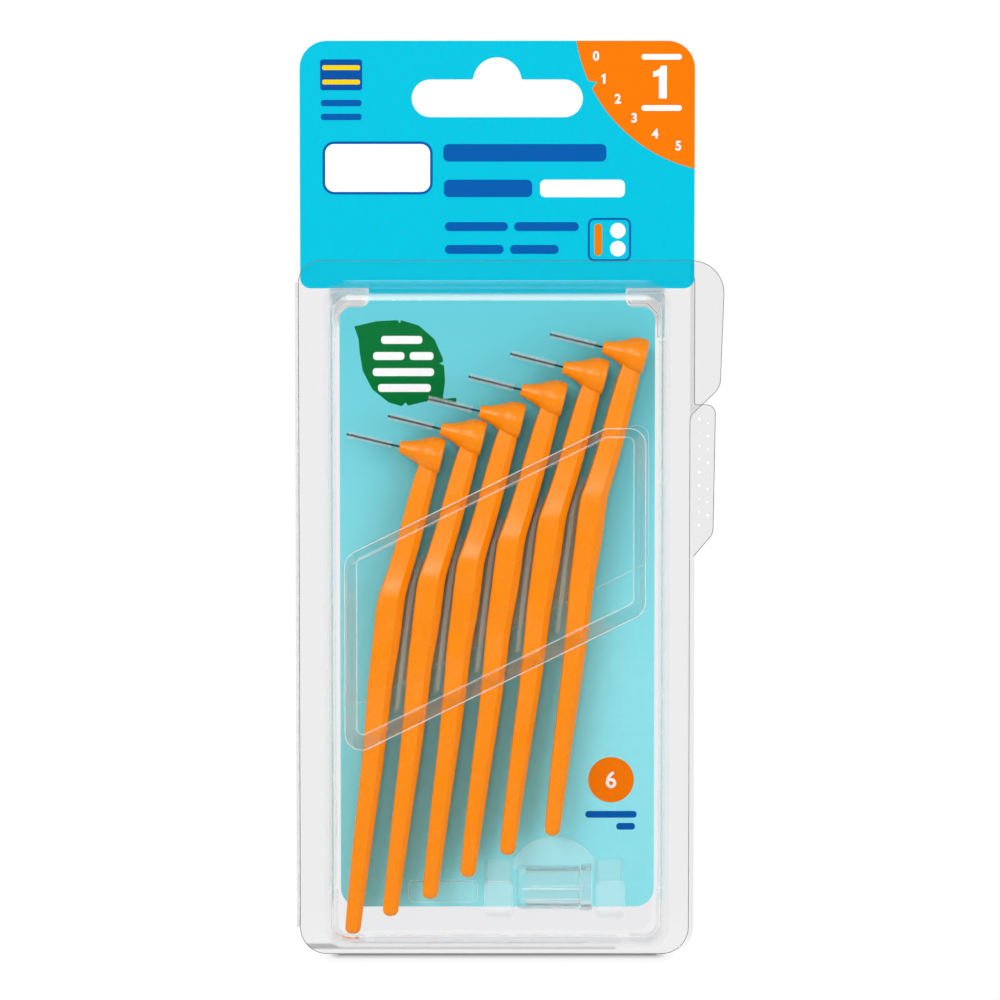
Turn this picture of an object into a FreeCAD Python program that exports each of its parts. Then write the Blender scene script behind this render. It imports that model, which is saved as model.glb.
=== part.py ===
import FreeCAD, Part
import math
import os

# A hanging pack of six angled interdental brushes and their protective cap.
# A flat card with a hang slot lies between two clear formed sheets. The front one is a
# deep cover that swings open on a fold along the left edge. Six brushes lie side by side
# in a clear tray, and a clear cap for their heads lies below them.
#
# Millimetres. +X is to the right, +Y points to the back and +Z is up.
# The origin is the middle of the hang slot, in the middle of the card's thickness.

# Clear sheet, card and clearances
sheet = 0.35
card_thickness = 0.4
flange_gap = 0.15
running_gap = 0.3
overrun = 2.0

# Header of the card, with its hang slot
header_overhang = 0.3
header_height = 46.6
slot_drop = 10.8
header_top_radius = 5.2
header_bottom_radius = 2.0
slot_width = 32.3
slot_height = 7.1
arch_radius = 4.6
arch_rise = 7.7
arch_blend_radius = 0.35

# Body of the card, below the header and inside the dome
body_side_gap = 3.15
body_foot_gap = 8.1
body_corner_radius = 3.2
body_foot_radius = 3.6
neck_inset = 5.6
neck_height = 3.5
neck_radius = 1.4
neck_corner_radius = 0.4

# Outlines of the two clear sheets
case_shift = 0.55
header_overlap = 5.3
rear_overhang = 0.9
case_top_radius = 4.2
case_foot_radius = 5.2
pull_width = 6.6
pull_height = 24.1
pull_taper = 0.9
pull_slope_height = 5.4
pull_top_radius = 6.2
pull_foot_radius = 3.6
pull_root_radius = 2.5
grip_width = 4.0
grip_drop = 27.3
grip_height = 24.6
grip_taper = 0.4
grip_slope_height = 4.2
grip_top_radius = 3.4
grip_foot_radius = 3.0
grip_root_radius = 0.4

# Deep dome of the cover
dome_depth = 15.3
dome_rim_left = 4.6
dome_rim_right = 3.6
dome_rim_top = 3.9
dome_rim_foot = 1.0
dome_side_draft = 2.2
dome_top_draft = 2.4
dome_foot_draft = 4.6
dome_corner_radius = 3.8
dome_edge_radius = 1.3
foot_groove_from_left = 5.5
foot_groove_from_right = 16.6
foot_groove_height = 1.1
foot_groove_depth = 0.35
foot_groove_setback = 8.2

# One brush, measured from the top right corner of its head
head_length = 8.3
head_tilt_deg = 13.1
head_axis_x = -9.05
head_axis_z = -1.3
nose_radius = 1.12
head_radius = 3.38
head_edge_radius = 0.45
wire_radius = 0.24
wire_length = 10.2
wire_stub = 4.4
bore_clearance = 0.03
bristle_reach = 0.78
bristle_side = 0.1
bristle_length = 6.2
bristle_start = 0.25
bristle_rows = 22
bristle_turn_deg = 50.0
handle_height = 94.0
handle_width = 5.15
handle_depth = 5.2
handle_end_height = 1.4
section_corner_radius = 0.55
brush_depth = 5.0

# The row of brushes
brush_count = 6
brush_pitch_x = 7.6
brush_pitch_z = 3.74
first_brush_inset = 28.2
last_brush_inset = 8.1
first_brush_drop = 33.8
brush_foot_gap = 3.2
brush_lean_deg = 1.1

# Recessed pad of the cover that holds the handles down
pad_above_knee = 12.4
pad_below_knee = 25.4
pad_side_left = 2.6
pad_side_right = 3.3
pad_corner_drop = 3.64
pad_corner_radius = 3.0
pad_draft = 2.1

# Tray
tray_gap = 0.9
tray_top_gap = 0.9
tray_foot_gap = 1.0
tray_corner_radius = 3.0
plinth_above_knee = 10.0
plinth_below_knee = 18.0
plinth_inset = 0.4
plinth_corner_radius = 2.5
rib_above_knee = 6.0
rib_below_knee = 24.0
rib_width = 1.5
rib_depth = 3.1
rib_corner_radius = 0.6
rib_bend_radius = 9.0
form_draft = 0.25

# Protective cap and the two stops beside it
cap_length = 14.2
cap_radius = 4.2
cap_collar_radius = 4.45
cap_collar_length = 2.2
cap_mouth_radius = 3.6
cap_end_bore_radius = 3.2
cap_wall = 1.7
cap_step = 0.25
cap_end_radius = 0.9
cap_from_side = 15.1
cap_from_foot = 12.7
stop_width = 5.9
stop_above = 5.2
stop_below = 5.8
stop_slope_height = 3.4
stop_depth = 8.1
stop_corner_radius = 1.2
stop_gap = 0.5
scoop_depth = 1.2
scoop_radius = 9.0
scoop_rise = 3.7
step_length = 13.8
step_above = 0.9
step_below = 3.9
step_depth = 1.0
step_gap = 0.8
step_corner_radius = 1.4

# Snap rim and corner studs of the rear sheet
rim_gap = 0.35
rim_thickness = 1.5
rim_depth = 1.4
rim_corner_radius = 0.375
stud_depth = 3.1
stud_length = 6.3
stud_leg = 7.0
stud_corner_radius = 0.6
stud_tight_radius = 0.3
stud_outer_radius = 1.2

# Shares that shape the brush. Each handle section is a share of the handle's height, where
# its middle stands sideways as a share of the height, its width and depth as shares of the
# full ones, and how far its middle stands forward as a share of the depth.
handle_sections_shares = (
    (0.034, 0.034, 0.60, 0.62, 0.00),
    (0.082, 0.0465, 0.81, 0.69, 0.00),
    (0.154, 0.0650, 0.86, 0.72, 0.00),
    (0.240, 0.0880, 0.90, 0.82, 0.00),
    (0.290, 0.1035, 0.95, 0.94, 0.02),
    (0.315, 0.1110, 0.99, 1.00, 0.04),
    (0.342, 0.1150, 1.00, 0.98, 0.03),
    (0.400, 0.1215, 0.99, 0.90, 0.00),
    (0.472, 0.1315, 0.92, 0.74, -0.06),
    (0.540, 0.1385, 0.86, 0.74, -0.05),
    (0.730, 0.1590, 0.74, 0.70, -0.04),
    (0.985, 0.1880, 0.57, 0.50, -0.04),
)
end_shares = ((0.0, 1.0), (0.35, 0.94), (0.7, 0.74), (0.9, 0.48), (1.0, 0.2))
# How each brush lies: sideways and upwards, as shares of the two pitches, and its lean as a
# share of the largest lean.
brush_rest_shares = (
    (0.020, 0.00, 0.20),
    (0.042, -0.12, 0.55),
    (0.008, -0.23, 0.45),
    (0.042, -0.16, 0.83),
    (0.072, -0.03, 1.00),
    (0.058, 0.00, 0.45),
)
bevel_width_share = 0.27
bevel_depth_share = 0.26
bevel_radius_share = 0.5
bell_shares = (
    (0.28, 0.272),
    (0.42, 0.485),
    (0.60, 0.840),
    (0.76, 1.000),
)
head_edge_shares = ((1.0, 0.25), (0.3, 0.55), (0.0, 1.25))
corner_limit_share = 0.45
inset_radius_share = 0.25
stud_cut_share = 0.6
scoop_foot_share = 0.25

# Depths of the layers, from the back to the front
card_back = card_thickness / 2
card_front = -card_back
rear_back = card_back + sheet
flange_back = card_front - flange_gap
flange_front = flange_back - sheet
tray_front = card_front - sheet
dome_front = flange_front - dome_depth

# Sides of the main outlines. The row of brushes sets the width of the case and of the card.
row_width = (brush_count - 1) * brush_pitch_x
front_width = first_brush_inset + row_width + last_brush_inset
header_width = front_width + header_overhang
case_left = -front_width / 2 - case_shift
front_right = case_left + front_width
rear_right = front_right + rear_overhang
dome_left = case_left + dome_rim_left
dome_right = front_right - dome_rim_right
body_width = dome_right - dome_left - 2 * body_side_gap
neck_width = body_width - 2 * neck_inset

# Heights of the main outlines. The first brush sets the foot of the case.
header_top = slot_drop
header_foot = header_top - header_height
body_top = header_foot - neck_height
case_top = header_foot + header_overlap
first_brush_z = case_top - first_brush_drop
case_foot = first_brush_z - handle_height - handle_end_height - brush_foot_gap
case_height = case_top - case_foot
dome_top = case_top - dome_rim_top
dome_foot = case_foot + dome_rim_foot
body_foot = dome_foot + body_foot_gap

# Place of the first brush and of the line through all knees, where the handles are deepest
first_brush_x = case_left + first_brush_inset
knee_shares = max(handle_sections_shares, key=lambda row: row[3])
knee_height_share, knee_side_share = knee_shares[:2]
knee_x = first_brush_x - knee_side_share * handle_height
knee_z = first_brush_z - knee_height_share * handle_height
row_slope = brush_pitch_z / brush_pitch_x
knee_forward = knee_shares[4] * handle_depth
pad_back = -brush_depth - knee_forward - handle_depth / 2 - running_gap
pad_front = pad_back - sheet
plinth_front = -brush_depth - knee_forward + handle_depth / 2 + running_gap


def at(x, y, z):
    return FreeCAD.Vector(x, y, z)


def knee_line(x, above):
    """Height at x of the line that lies this far above the knees of the whole row."""
    return knee_z + above + (x - knee_x) * row_slope


def signed_area(corners):
    pairs = zip(corners, corners[1:] + corners[:1])
    return sum(a[0] * b[1] - b[0] * a[1] for a, b in pairs) / 2


def inset(corners, distance):
    """Moves every side of an outline inwards, and its corner radii with them."""
    turn = 1 if signed_area(corners) > 0 else -1
    moved = []
    for i, (x, z, radius) in enumerate(corners):
        before = corners[i - 1]
        after = corners[(i + 1) % len(corners)]
        ax, az = x - before[0], z - before[1]
        bx, bz = after[0] - x, after[1] - z
        a_length, b_length = math.hypot(ax, az), math.hypot(bx, bz)
        ax, az, bx, bz = ax / a_length, az / a_length, bx / b_length, bz / b_length
        cross = ax * bz - az * bx
        dot = ax * bx + az * bz
        reach = distance * turn / (1 + dot)
        convex = cross * turn > 0
        rounded = radius - distance if convex else radius + distance
        rounded = max(rounded, radius * inset_radius_share)
        moved.append((x - reach * (az + bz), z + reach * (ax + bx), rounded))
    return moved


def rounded_edges(corners, place):
    """Lines and arcs through rounded corners. place turns a flat point into a 3-D one."""
    joints = []
    for i, (x, z, radius) in enumerate(corners):
        before = corners[i - 1]
        after = corners[(i + 1) % len(corners)]
        ax, az = before[0] - x, before[1] - z
        bx, bz = after[0] - x, after[1] - z
        a_length, b_length = math.hypot(ax, az), math.hypot(bx, bz)
        ax, az, bx, bz = ax / a_length, az / a_length, bx / b_length, bz / b_length
        half = math.acos(max(-1, min(1, ax * bx + az * bz))) / 2
        radius = min(radius, corner_limit_share * min(a_length, b_length) * math.tan(half))
        tangent = radius / math.tan(half)
        to_centre = radius / math.sin(half)
        mx, mz = ax + bx, az + bz
        m_length = math.hypot(mx, mz)
        deep = (to_centre - radius) / m_length
        joints.append(
            (
                (x + ax * tangent, z + az * tangent),
                (x + mx * deep, z + mz * deep),
                (x + bx * tangent, z + bz * tangent),
            )
        )
    edges = []
    for i, (start, middle, end) in enumerate(joints):
        edges.append(Part.Arc(place(*start), place(*middle), place(*end)).toShape())
        following = joints[(i + 1) % len(joints)][0]
        edges.append(Part.LineSegment(place(*end), place(*following)).toShape())
    return edges


def outline_wire(corners, y):
    return Part.Wire(rounded_edges(corners, lambda x, z: at(x, y, z)))


def plate(corners, y_back, thickness):
    """Flat sheet with its back at y_back, reaching forward by its thickness."""
    face = Part.Face(outline_wire(corners, y_back))
    return face.extrude(at(0, -thickness, 0))


def tapered(base, top, y_base, y_top):
    """Solid between an outline at y_base and one with as many corners at y_top."""
    return Part.makeLoft([outline_wire(base, y_base), outline_wire(top, y_top)], True, True)


def box_corners(left, right, foot, top, radius):
    return [(left, foot, radius), (right, foot, radius), (right, top, radius), (left, top, radius)]


def soften_front(solid, y_front, radius):
    """Rounds the edges of the face that lies at y_front."""
    faces = [f for f in solid.Faces if abs(f.BoundBox.YMin - y_front) + f.BoundBox.YLength < sheet / 2]
    return solid.makeFillet(radius, faces[0].Edges)


def save(name, shape):
    shape = shape.removeSplitter() if shape.ShapeType != "Compound" else shape
    shape.exportStep(os.path.join("parts", name + ".step"))
    solids = len(shape.Solids)
    print(name, "solids", solids, "valid", shape.isValid(), "volume", round(shape.Volume, 2))


# Card


def card_outline():
    header, body, neck = header_width / 2, body_width / 2, neck_width / 2
    right = [
        (header, header_top, header_top_radius),
        (header, header_foot, header_bottom_radius),
        (neck, header_foot, neck_corner_radius),
        (neck, body_top, neck_radius),
        (body, body_top, body_corner_radius),
        (body, body_foot, body_foot_radius),
    ]
    return right + [(-x, z, radius) for x, z, radius in reversed(right)]


def hang_slot():
    """Round ended slot whose middle rises in an arch, as lines and arcs."""
    end = slot_height / 2
    reach = slot_width / 2 - end
    centre = arch_rise - arch_radius
    blend = end + arch_blend_radius
    away = math.sqrt((arch_radius + arch_blend_radius) ** 2 - (blend - centre) ** 2)
    touch = arch_radius / (arch_radius + arch_blend_radius)
    side_x, side_z = away * touch, centre + (blend - centre) * touch
    lean_x, lean_z = side_x - away, side_z - blend - arch_blend_radius
    lean = arch_blend_radius / math.hypot(lean_x, lean_z)
    bend_x, bend_z = away + lean * lean_x, blend + lean * lean_z
    y = card_back + overrun

    def line(x1, z1, x2, z2):
        return Part.LineSegment(at(x1, y, z1), at(x2, y, z2)).toShape()

    def arc(x1, z1, x2, z2, x3, z3):
        return Part.Arc(at(x1, y, z1), at(x2, y, z2), at(x3, y, z3)).toShape()

    edges = [
        line(-reach, -end, reach, -end),
        arc(reach, -end, reach + end, 0, reach, end),
        line(reach, end, away, end),
        arc(away, end, bend_x, bend_z, side_x, side_z),
        arc(side_x, side_z, 0, arch_rise, -side_x, side_z),
        arc(-side_x, side_z, -bend_x, bend_z, -away, end),
        line(-away, end, -reach, end),
        arc(-reach, end, -reach - end, 0, -reach, -end),
    ]
    return Part.Face(Part.Wire(edges)).extrude(at(0, -card_thickness - 2 * overrun, 0))


def make_card():
    return plate(card_outline(), card_back, card_thickness).cut(hang_slot())


# Outlines of the two clear sheets


def front_outline():
    pull_right = front_right + pull_width
    pull_foot = case_top - pull_height
    return [
        (case_left, case_foot, case_foot_radius),
        (front_right, case_foot, case_foot_radius),
        (front_right, pull_foot - pull_slope_height, pull_root_radius),
        (pull_right - pull_taper, pull_foot, pull_foot_radius),
        (pull_right, case_top, pull_top_radius),
        (case_left, case_top, case_top_radius),
    ]


def rear_outline():
    grip_top = case_top - grip_drop
    grip_foot = grip_top - grip_height
    grip_right = rear_right + grip_width
    return [
        (case_left, case_foot, case_foot_radius),
        (rear_right, case_foot, case_foot_radius),
        (rear_right, grip_foot - grip_slope_height, grip_root_radius),
        (grip_right - grip_taper, grip_foot, grip_foot_radius),
        (grip_right, grip_top, grip_top_radius),
        (rear_right, grip_top, grip_root_radius),
        (rear_right, case_top, case_top_radius),
        (case_left, case_top, case_top_radius),
    ]


def dome_base():
    return box_corners(dome_left, dome_right, dome_foot, dome_top, dome_corner_radius)


def dome_face():
    return box_corners(
        dome_left + dome_side_draft,
        dome_right - dome_side_draft,
        dome_foot + dome_foot_draft,
        dome_top - dome_top_draft,
        dome_corner_radius,
    )


def pad_rim():
    left = dome_left + dome_side_draft + pad_side_left
    right = dome_right - dome_side_draft - pad_side_right
    level = knee_line(right, pad_above_knee) - pad_corner_drop
    turn_x = knee_x + (level - knee_z - pad_above_knee) / row_slope
    return [
        (left, knee_line(left, -pad_below_knee), pad_corner_radius),
        (right, knee_line(right, -pad_below_knee), pad_corner_radius),
        (right, level, pad_corner_radius),
        (turn_x, level, pad_corner_radius),
        (left, knee_line(left, pad_above_knee), pad_corner_radius),
    ]


# Cover


def foot_groove():
    """Shallow finger groove pressed into the dome's sloping foot."""
    left = dome_left + foot_groove_from_left
    length = dome_right - foot_groove_from_right - left
    share = foot_groove_setback / dome_depth
    z = dome_foot + dome_foot_draft * share
    y = flange_front - foot_groove_setback
    start = at(left, y, z - foot_groove_height / 2 + foot_groove_depth)
    return Part.makeCylinder(foot_groove_height / 2, length, start, at(1, 0, 0))


def make_front_shell():
    outer = tapered(dome_base(), dome_face(), flange_back, dome_front)
    outer = soften_front(outer, dome_front, dome_edge_radius)
    hollow_rim, hollow_face = inset(dome_base(), sheet), inset(dome_face(), sheet)
    hollow = tapered(hollow_rim, hollow_face, flange_back, dome_front + sheet)
    hollow = soften_front(hollow, dome_front + sheet, dome_edge_radius - sheet)
    rim = pad_rim()
    floor = inset(rim, pad_draft)
    recess = tapered(rim, floor, dome_front, pad_front)
    ahead = plate(rim, dome_front, overrun)
    wall_rim, wall_floor = inset(rim, -sheet), inset(floor, -sheet)
    wall = tapered(wall_rim, wall_floor, dome_front, pad_back).fuse(plate(wall_rim, dome_front, overrun))
    shell = plate(front_outline(), flange_back, sheet).fuse(outer)
    return shell.cut(hollow.cut(wall)).cut(recess.fuse(ahead)).cut(foot_groove())


# Rear sheet


def stud_outlines(wall_x, side):
    """Corner studs in the notches of the card, beside the dome wall at wall_x. side is 1 or -1."""
    outer = wall_x - side * (rim_gap + sheet + dome_side_draft * stud_depth / dome_depth)
    top = header_foot - rim_gap
    notch = side * (neck_width / 2 + rim_gap)
    beside = side * (body_width / 2 + rim_gap)
    above = body_top + rim_gap
    below = body_foot + body_foot_radius
    foot = dome_foot + rim_gap + sheet + dome_foot_draft * stud_depth / dome_depth
    radius, tight = stud_corner_radius, stud_tight_radius
    cut = stud_cut_share * body_corner_radius
    width = abs(outer - beside)
    leg = outer - side * stud_leg
    bend = dome_corner_radius - sheet - rim_gap
    upper = [
        (outer, above - stud_length, tight),
        (beside, above - stud_length, tight),
        (beside, above - cut, radius),
        (beside - side * cut, above, radius),
        (notch, above, radius),
        (notch, top, radius),
        (outer, top, stud_outer_radius),
    ]
    lower = [
        (outer, foot, bend),
        (leg, foot, tight),
        (leg, foot + width, tight),
        (beside, foot + width, bend - width),
        (beside, below, tight),
        (outer, below, tight),
    ]
    return [upper, lower]


def rim_outlines():
    """Low snap rims along both sides and the foot, between the corner studs."""
    slope = rim_depth / dome_depth
    left = dome_left + rim_gap + sheet + dome_side_draft * slope
    right = dome_right - rim_gap - sheet - dome_side_draft * slope
    foot = dome_foot + rim_gap + sheet + dome_foot_draft * slope
    top = body_top - stud_length
    radius = rim_corner_radius
    below = body_foot + body_foot_radius + rim_gap
    from_side = stud_leg + rim_thickness
    return [
        box_corners(left, left + rim_thickness, below, top, radius),
        box_corners(right - rim_thickness, right, below, top, radius),
        box_corners(left + from_side, right - from_side, foot, foot + rim_thickness, radius),
    ]


def pressed(corners, depth):
    """Hollow form pressed forward out of the rear sheet, as its outside and its hollow."""
    top = inset(corners, form_draft)
    outside = tapered(corners, top, card_back, card_back - depth)
    hollow_base, hollow_top = inset(corners, sheet), inset(corners, sheet + form_draft)
    hollow = tapered(hollow_base, hollow_top, rear_back, card_back - depth + sheet)
    return outside, hollow


def make_rear_shell():
    shell = plate(rear_outline(), rear_back, sheet)
    studs = stud_outlines(dome_left, -1) + stud_outlines(dome_right, 1)
    forms = [pressed(corners, card_thickness + stud_depth) for corners in studs]
    forms += [pressed(corners, card_thickness + rim_depth) for corners in rim_outlines()]
    shell = shell.fuse([outside for outside, hollow in forms])
    return shell.cut([hollow for outside, hollow in forms])


def make_living_hinge():
    """Folded strip that joins the left edges of the two sheets."""
    outer = (rear_back - flange_front) / 2
    inner = outer - sheet
    middle = (rear_back + flange_front) / 2
    length = case_height - case_foot_radius - case_top_radius
    start = at(case_left, middle, case_foot + case_foot_radius)
    roll = Part.makeCylinder(outer, length, start, at(0, 0, 1), 180)
    core = Part.makeCylinder(inner, length, start, at(0, 0, 1), 180)
    strip = roll.cut(core)
    strip.rotate(start, at(0, 0, 1), 90)
    return strip


# Tray


def handle_middle(height_share):
    """Sideways share of the handle's middle line at a share of its height."""
    rows = handle_sections_shares
    for upper, lower in zip(rows, rows[1:]):
        if height_share <= lower[0]:
            part = (height_share - upper[0]) / (lower[0] - upper[0])
            return upper[1] + part * (lower[1] - upper[1])
    return rows[-1][1]


def rib_outline(index):
    """Bent rib half a pitch past brush number index, with its ends along the knee line."""
    x_base = first_brush_x + (index + 0.5) * brush_pitch_x
    z_base = first_brush_z + (index + 0.5) * brush_pitch_z
    knee_share = knee_height_share
    shares = (
        knee_share - rib_above_knee / handle_height,
        knee_share,
        knee_share + rib_below_knee / handle_height / 2,
        knee_share + rib_below_knee / handle_height,
    )
    middles = [(x_base - handle_middle(s) * handle_height, z_base - s * handle_height) for s in shares]
    half = rib_width / 2
    tilt = half * row_slope
    end, bend = rib_corner_radius, rib_bend_radius
    radii = (end, bend, bend, end)
    left = [(x - half, z - tilt, r) for (x, z), r in zip(middles, radii)]
    right = [(x + half, z + tilt, r) for (x, z), r in zip(reversed(middles), radii)]
    return left + right


def tray_outline():
    half = body_width / 2 - tray_gap + rim_gap
    foot = dome_foot + rim_gap + sheet + dome_foot_draft * rim_depth / dome_depth
    foot = foot + rim_thickness + tray_foot_gap
    return box_corners(-half, half, foot, body_top - tray_top_gap, tray_corner_radius)


def plinth_outline():
    left = tray_outline()[0][0] + plinth_inset
    right = tray_outline()[1][0] - plinth_inset
    radius = plinth_corner_radius
    return [
        (left, knee_line(left, -plinth_below_knee), radius),
        (right, knee_line(right, -plinth_below_knee), radius),
        (right, knee_line(right, plinth_above_knee), radius),
        (left, knee_line(left, plinth_above_knee), radius),
    ]


cap_right = dome_right - cap_from_side
cap_left = cap_right - cap_length
cap_z = dome_foot + cap_from_foot
cap_y = tray_front - running_gap - cap_collar_radius


def stop_outlines(slope):
    """Outlines of the two stops, with their tops lowered by slope."""
    low = cap_z - stop_below
    high = cap_z + stop_above - slope
    left_near, right_near = cap_left - stop_gap, cap_right + stop_gap
    left = box_corners(left_near - stop_width, left_near, low, high, stop_corner_radius)
    right = box_corners(right_near, right_near + stop_width, low, high, stop_corner_radius)
    return [left, right]


def step_outline():
    """Low step beside the left stop, below the feet of the first brushes."""
    right = cap_left - stop_gap - stop_width - step_gap
    return box_corners(
        right - step_length, right, cap_z - step_below, cap_z + step_above, step_corner_radius
    )


def scoop(radius, y_back, y_front):
    """Low round step above the cap, where a finger lifts it out."""
    middle = (cap_left + cap_right) / 2
    top = cap_z + stop_above + scoop_rise
    centre = at(middle, y_back, top - scoop_radius)
    disc = Part.makeCylinder(radius, y_back - y_front, centre, at(0, -1, 0))
    low = cap_z + scoop_foot_share * (stop_above + stop_below) + (scoop_radius - radius)
    keep = box_corners(middle - radius, middle + radius, low, top + overrun, sheet / 2)
    return disc.common(plate(keep, y_back, y_back - y_front))


def make_tray():
    shell = plate(tray_outline(), card_front, sheet)
    outsides, hollows = [], []
    flat = [(plinth_outline(), plinth_front), (step_outline(), card_front - step_depth)]
    flat += [(rib_outline(i), plinth_front - rib_depth) for i in range(brush_count - 1)]
    forms = [(corners, corners, front) for corners, front in flat]
    stops = zip(stop_outlines(0), stop_outlines(stop_slope_height))
    forms += [(base, top, card_front - stop_depth) for base, top in stops]
    for base, top, front in forms:
        outsides.append(tapered(base, inset(top, form_draft), card_front, front))
        hollow_top = inset(inset(top, sheet), form_draft)
        hollows.append(tapered(inset(base, sheet), hollow_top, card_front, front + sheet))
    outsides.append(scoop(scoop_radius, card_front, card_front - scoop_depth))
    hollows.append(scoop(scoop_radius - sheet, card_front, card_front - scoop_depth + sheet))
    return shell.fuse(outsides).cut(hollows)


def make_cap():
    """Round cap with a collar at its mouth, lying along X with the mouth to the right."""
    mouth, end = cap_right, cap_left
    collar = mouth - cap_collar_length
    points = [
        (end + cap_wall, 0),
        (end + cap_wall, cap_end_bore_radius),
        (mouth, cap_mouth_radius),
        (mouth, cap_collar_radius),
        (collar, cap_collar_radius),
        (collar - cap_step, cap_radius),
        (end, cap_radius),
        (end, 0),
    ]
    outline = [at(x, cap_y - r, cap_z) for x, r in points]
    face = Part.Face(Part.makePolygon(outline + outline[:1]))
    cap = face.revolve(at(end, cap_y, cap_z), at(1, 0, 0), 360)
    rims = [e for e in cap.Edges if e.BoundBox.XMax < end + sheet and e.BoundBox.ZLength > cap_radius]
    return cap.makeFillet(cap_end_radius, rims)


# Brush


def handle_section(row, down=0, scale=1):
    """Flat faced section with a bevel along its right front edge, as a level wire."""
    height, side, width, depth, forward = row
    middle_x = -side * handle_height
    middle_y = -brush_depth - forward * handle_depth
    half_w, half_d = scale * width * handle_width / 2, scale * depth * handle_depth / 2
    bevel_w, bevel_d = 2 * half_w * bevel_width_share, 2 * half_d * bevel_depth_share
    radius = section_corner_radius * width * scale
    corners = [
        (middle_x - half_w, middle_y - half_d, radius),
        (middle_x + half_w - bevel_w, middle_y - half_d, radius * bevel_radius_share),
        (middle_x + half_w, middle_y - half_d + bevel_d, radius * bevel_radius_share),
        (middle_x + half_w, middle_y + half_d, radius),
        (middle_x - half_w, middle_y + half_d, radius),
    ]
    z = -height * handle_height - down
    return Part.Wire(rounded_edges(corners, lambda x, y: at(x, y, z)))


def head_frame():
    """Tip of the head's nose, and the direction in which its wire leaves."""
    tilt = math.radians(head_tilt_deg)
    nose = at(head_axis_x, -brush_depth, head_axis_z)
    return nose, at(-math.cos(tilt), 0, math.sin(tilt))


def make_head():
    nose, out = head_frame()
    across = at(0, -1, 0)
    span = head_radius - nose_radius

    def spot(along, radius):
        return nose - out * along + across * radius

    curve_points = [spot(0, nose_radius)]
    curve_points += [spot(a * head_length, nose_radius + b * span) for a, b in bell_shares]
    rim = [
        spot(head_length - a * head_edge_radius, head_radius - b * head_edge_radius)
        for a, b in head_edge_shares
    ]
    bell = Part.BSplineCurve()
    bell.interpolate(curve_points + rim[:1])
    edges = [
        Part.LineSegment(spot(0, 0), spot(0, nose_radius)).toShape(),
        bell.toShape(),
        Part.Arc(*rim).toShape(),
        Part.LineSegment(rim[-1], spot(head_length, 0)).toShape(),
        Part.LineSegment(spot(head_length, 0), spot(0, 0)).toShape(),
    ]
    return Part.Face(Part.Wire(edges)).revolve(nose, out, 360)


def make_handle():
    """Head and handle, one moulding, with the blind bore that holds the wire."""
    rows = handle_sections_shares
    handle = Part.makeLoft([handle_section(row) for row in rows], True, False, False, 2)
    rounding = [handle_section(rows[-1], handle_end_height * down, scale) for down, scale in end_shares]
    foot = Part.makeLoft(rounding, True, False, False, 2)
    nose, out = head_frame()
    bore_radius = wire_radius + bore_clearance
    bore = Part.makeCylinder(bore_radius, wire_stub + overrun, nose - out * wire_stub, out)
    return handle.fuse([foot, make_head()]).cut(bore)


def make_wire():
    nose, out = head_frame()
    return Part.makeCylinder(wire_radius, wire_stub + wire_length, nose - out * wire_stub, out)


def make_bristles():
    """Pairs of filaments that stand out on both sides of the wire, turned row by row."""
    nose, out = head_frame()
    up = at(0, -1, 0)
    pitch = bristle_length / bristle_rows
    root = wire_radius + bore_clearance
    filaments = []
    for row in range(bristle_rows):
        along = wire_length - bristle_start - (row + 0.5) * pitch
        centre = nose + out * along
        for side in (0, 180):
            half = bristle_side / 2
            box = Part.makeBox(bristle_side, bristle_side, bristle_reach - root, at(-half, -half, root))
            box.Placement = FreeCAD.Placement(at(0, 0, 0), FreeCAD.Rotation(at(0, 0, 1), up))
            box.rotate(at(0, 0, 0), out, row * bristle_turn_deg + side)
            box.translate(centre)
            filaments.append(box)
    return Part.makeCompound(filaments)


def make_brushes():
    pieces = (("handle", make_handle()), ("wire_core", make_wire()), ("bristles", make_bristles()))
    for index in range(brush_count):
        aside, above, lean = brush_rest_shares[index % len(brush_rest_shares)]
        x = first_brush_x + (index + aside) * brush_pitch_x
        z = first_brush_z + index * brush_pitch_z + above * brush_pitch_z
        for name, shape in pieces:
            placed = shape.copy()
            placed.rotate(at(0, 0, 0), at(0, 1, 0), lean * brush_lean_deg)
            placed.translate(at(x, 0, z))
            save("%s_%d" % (name, index + 1), placed)


def main():
    os.makedirs("parts", exist_ok=True)
    save("insert_card", make_card())
    save("rear_shell", make_rear_shell())
    save("living_hinge", make_living_hinge())
    save("front_shell", make_front_shell())
    save("brush_tray", make_tray())
    save("protective_cap", make_cap())
    make_brushes()


main()
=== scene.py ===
import logging
import math
from dataclasses import dataclass
from enum import Enum
from typing import Any, Callable, Optional, Sequence

import bmesh
import bpy
import numpy as np
from mathutils import Matrix, Vector


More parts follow.
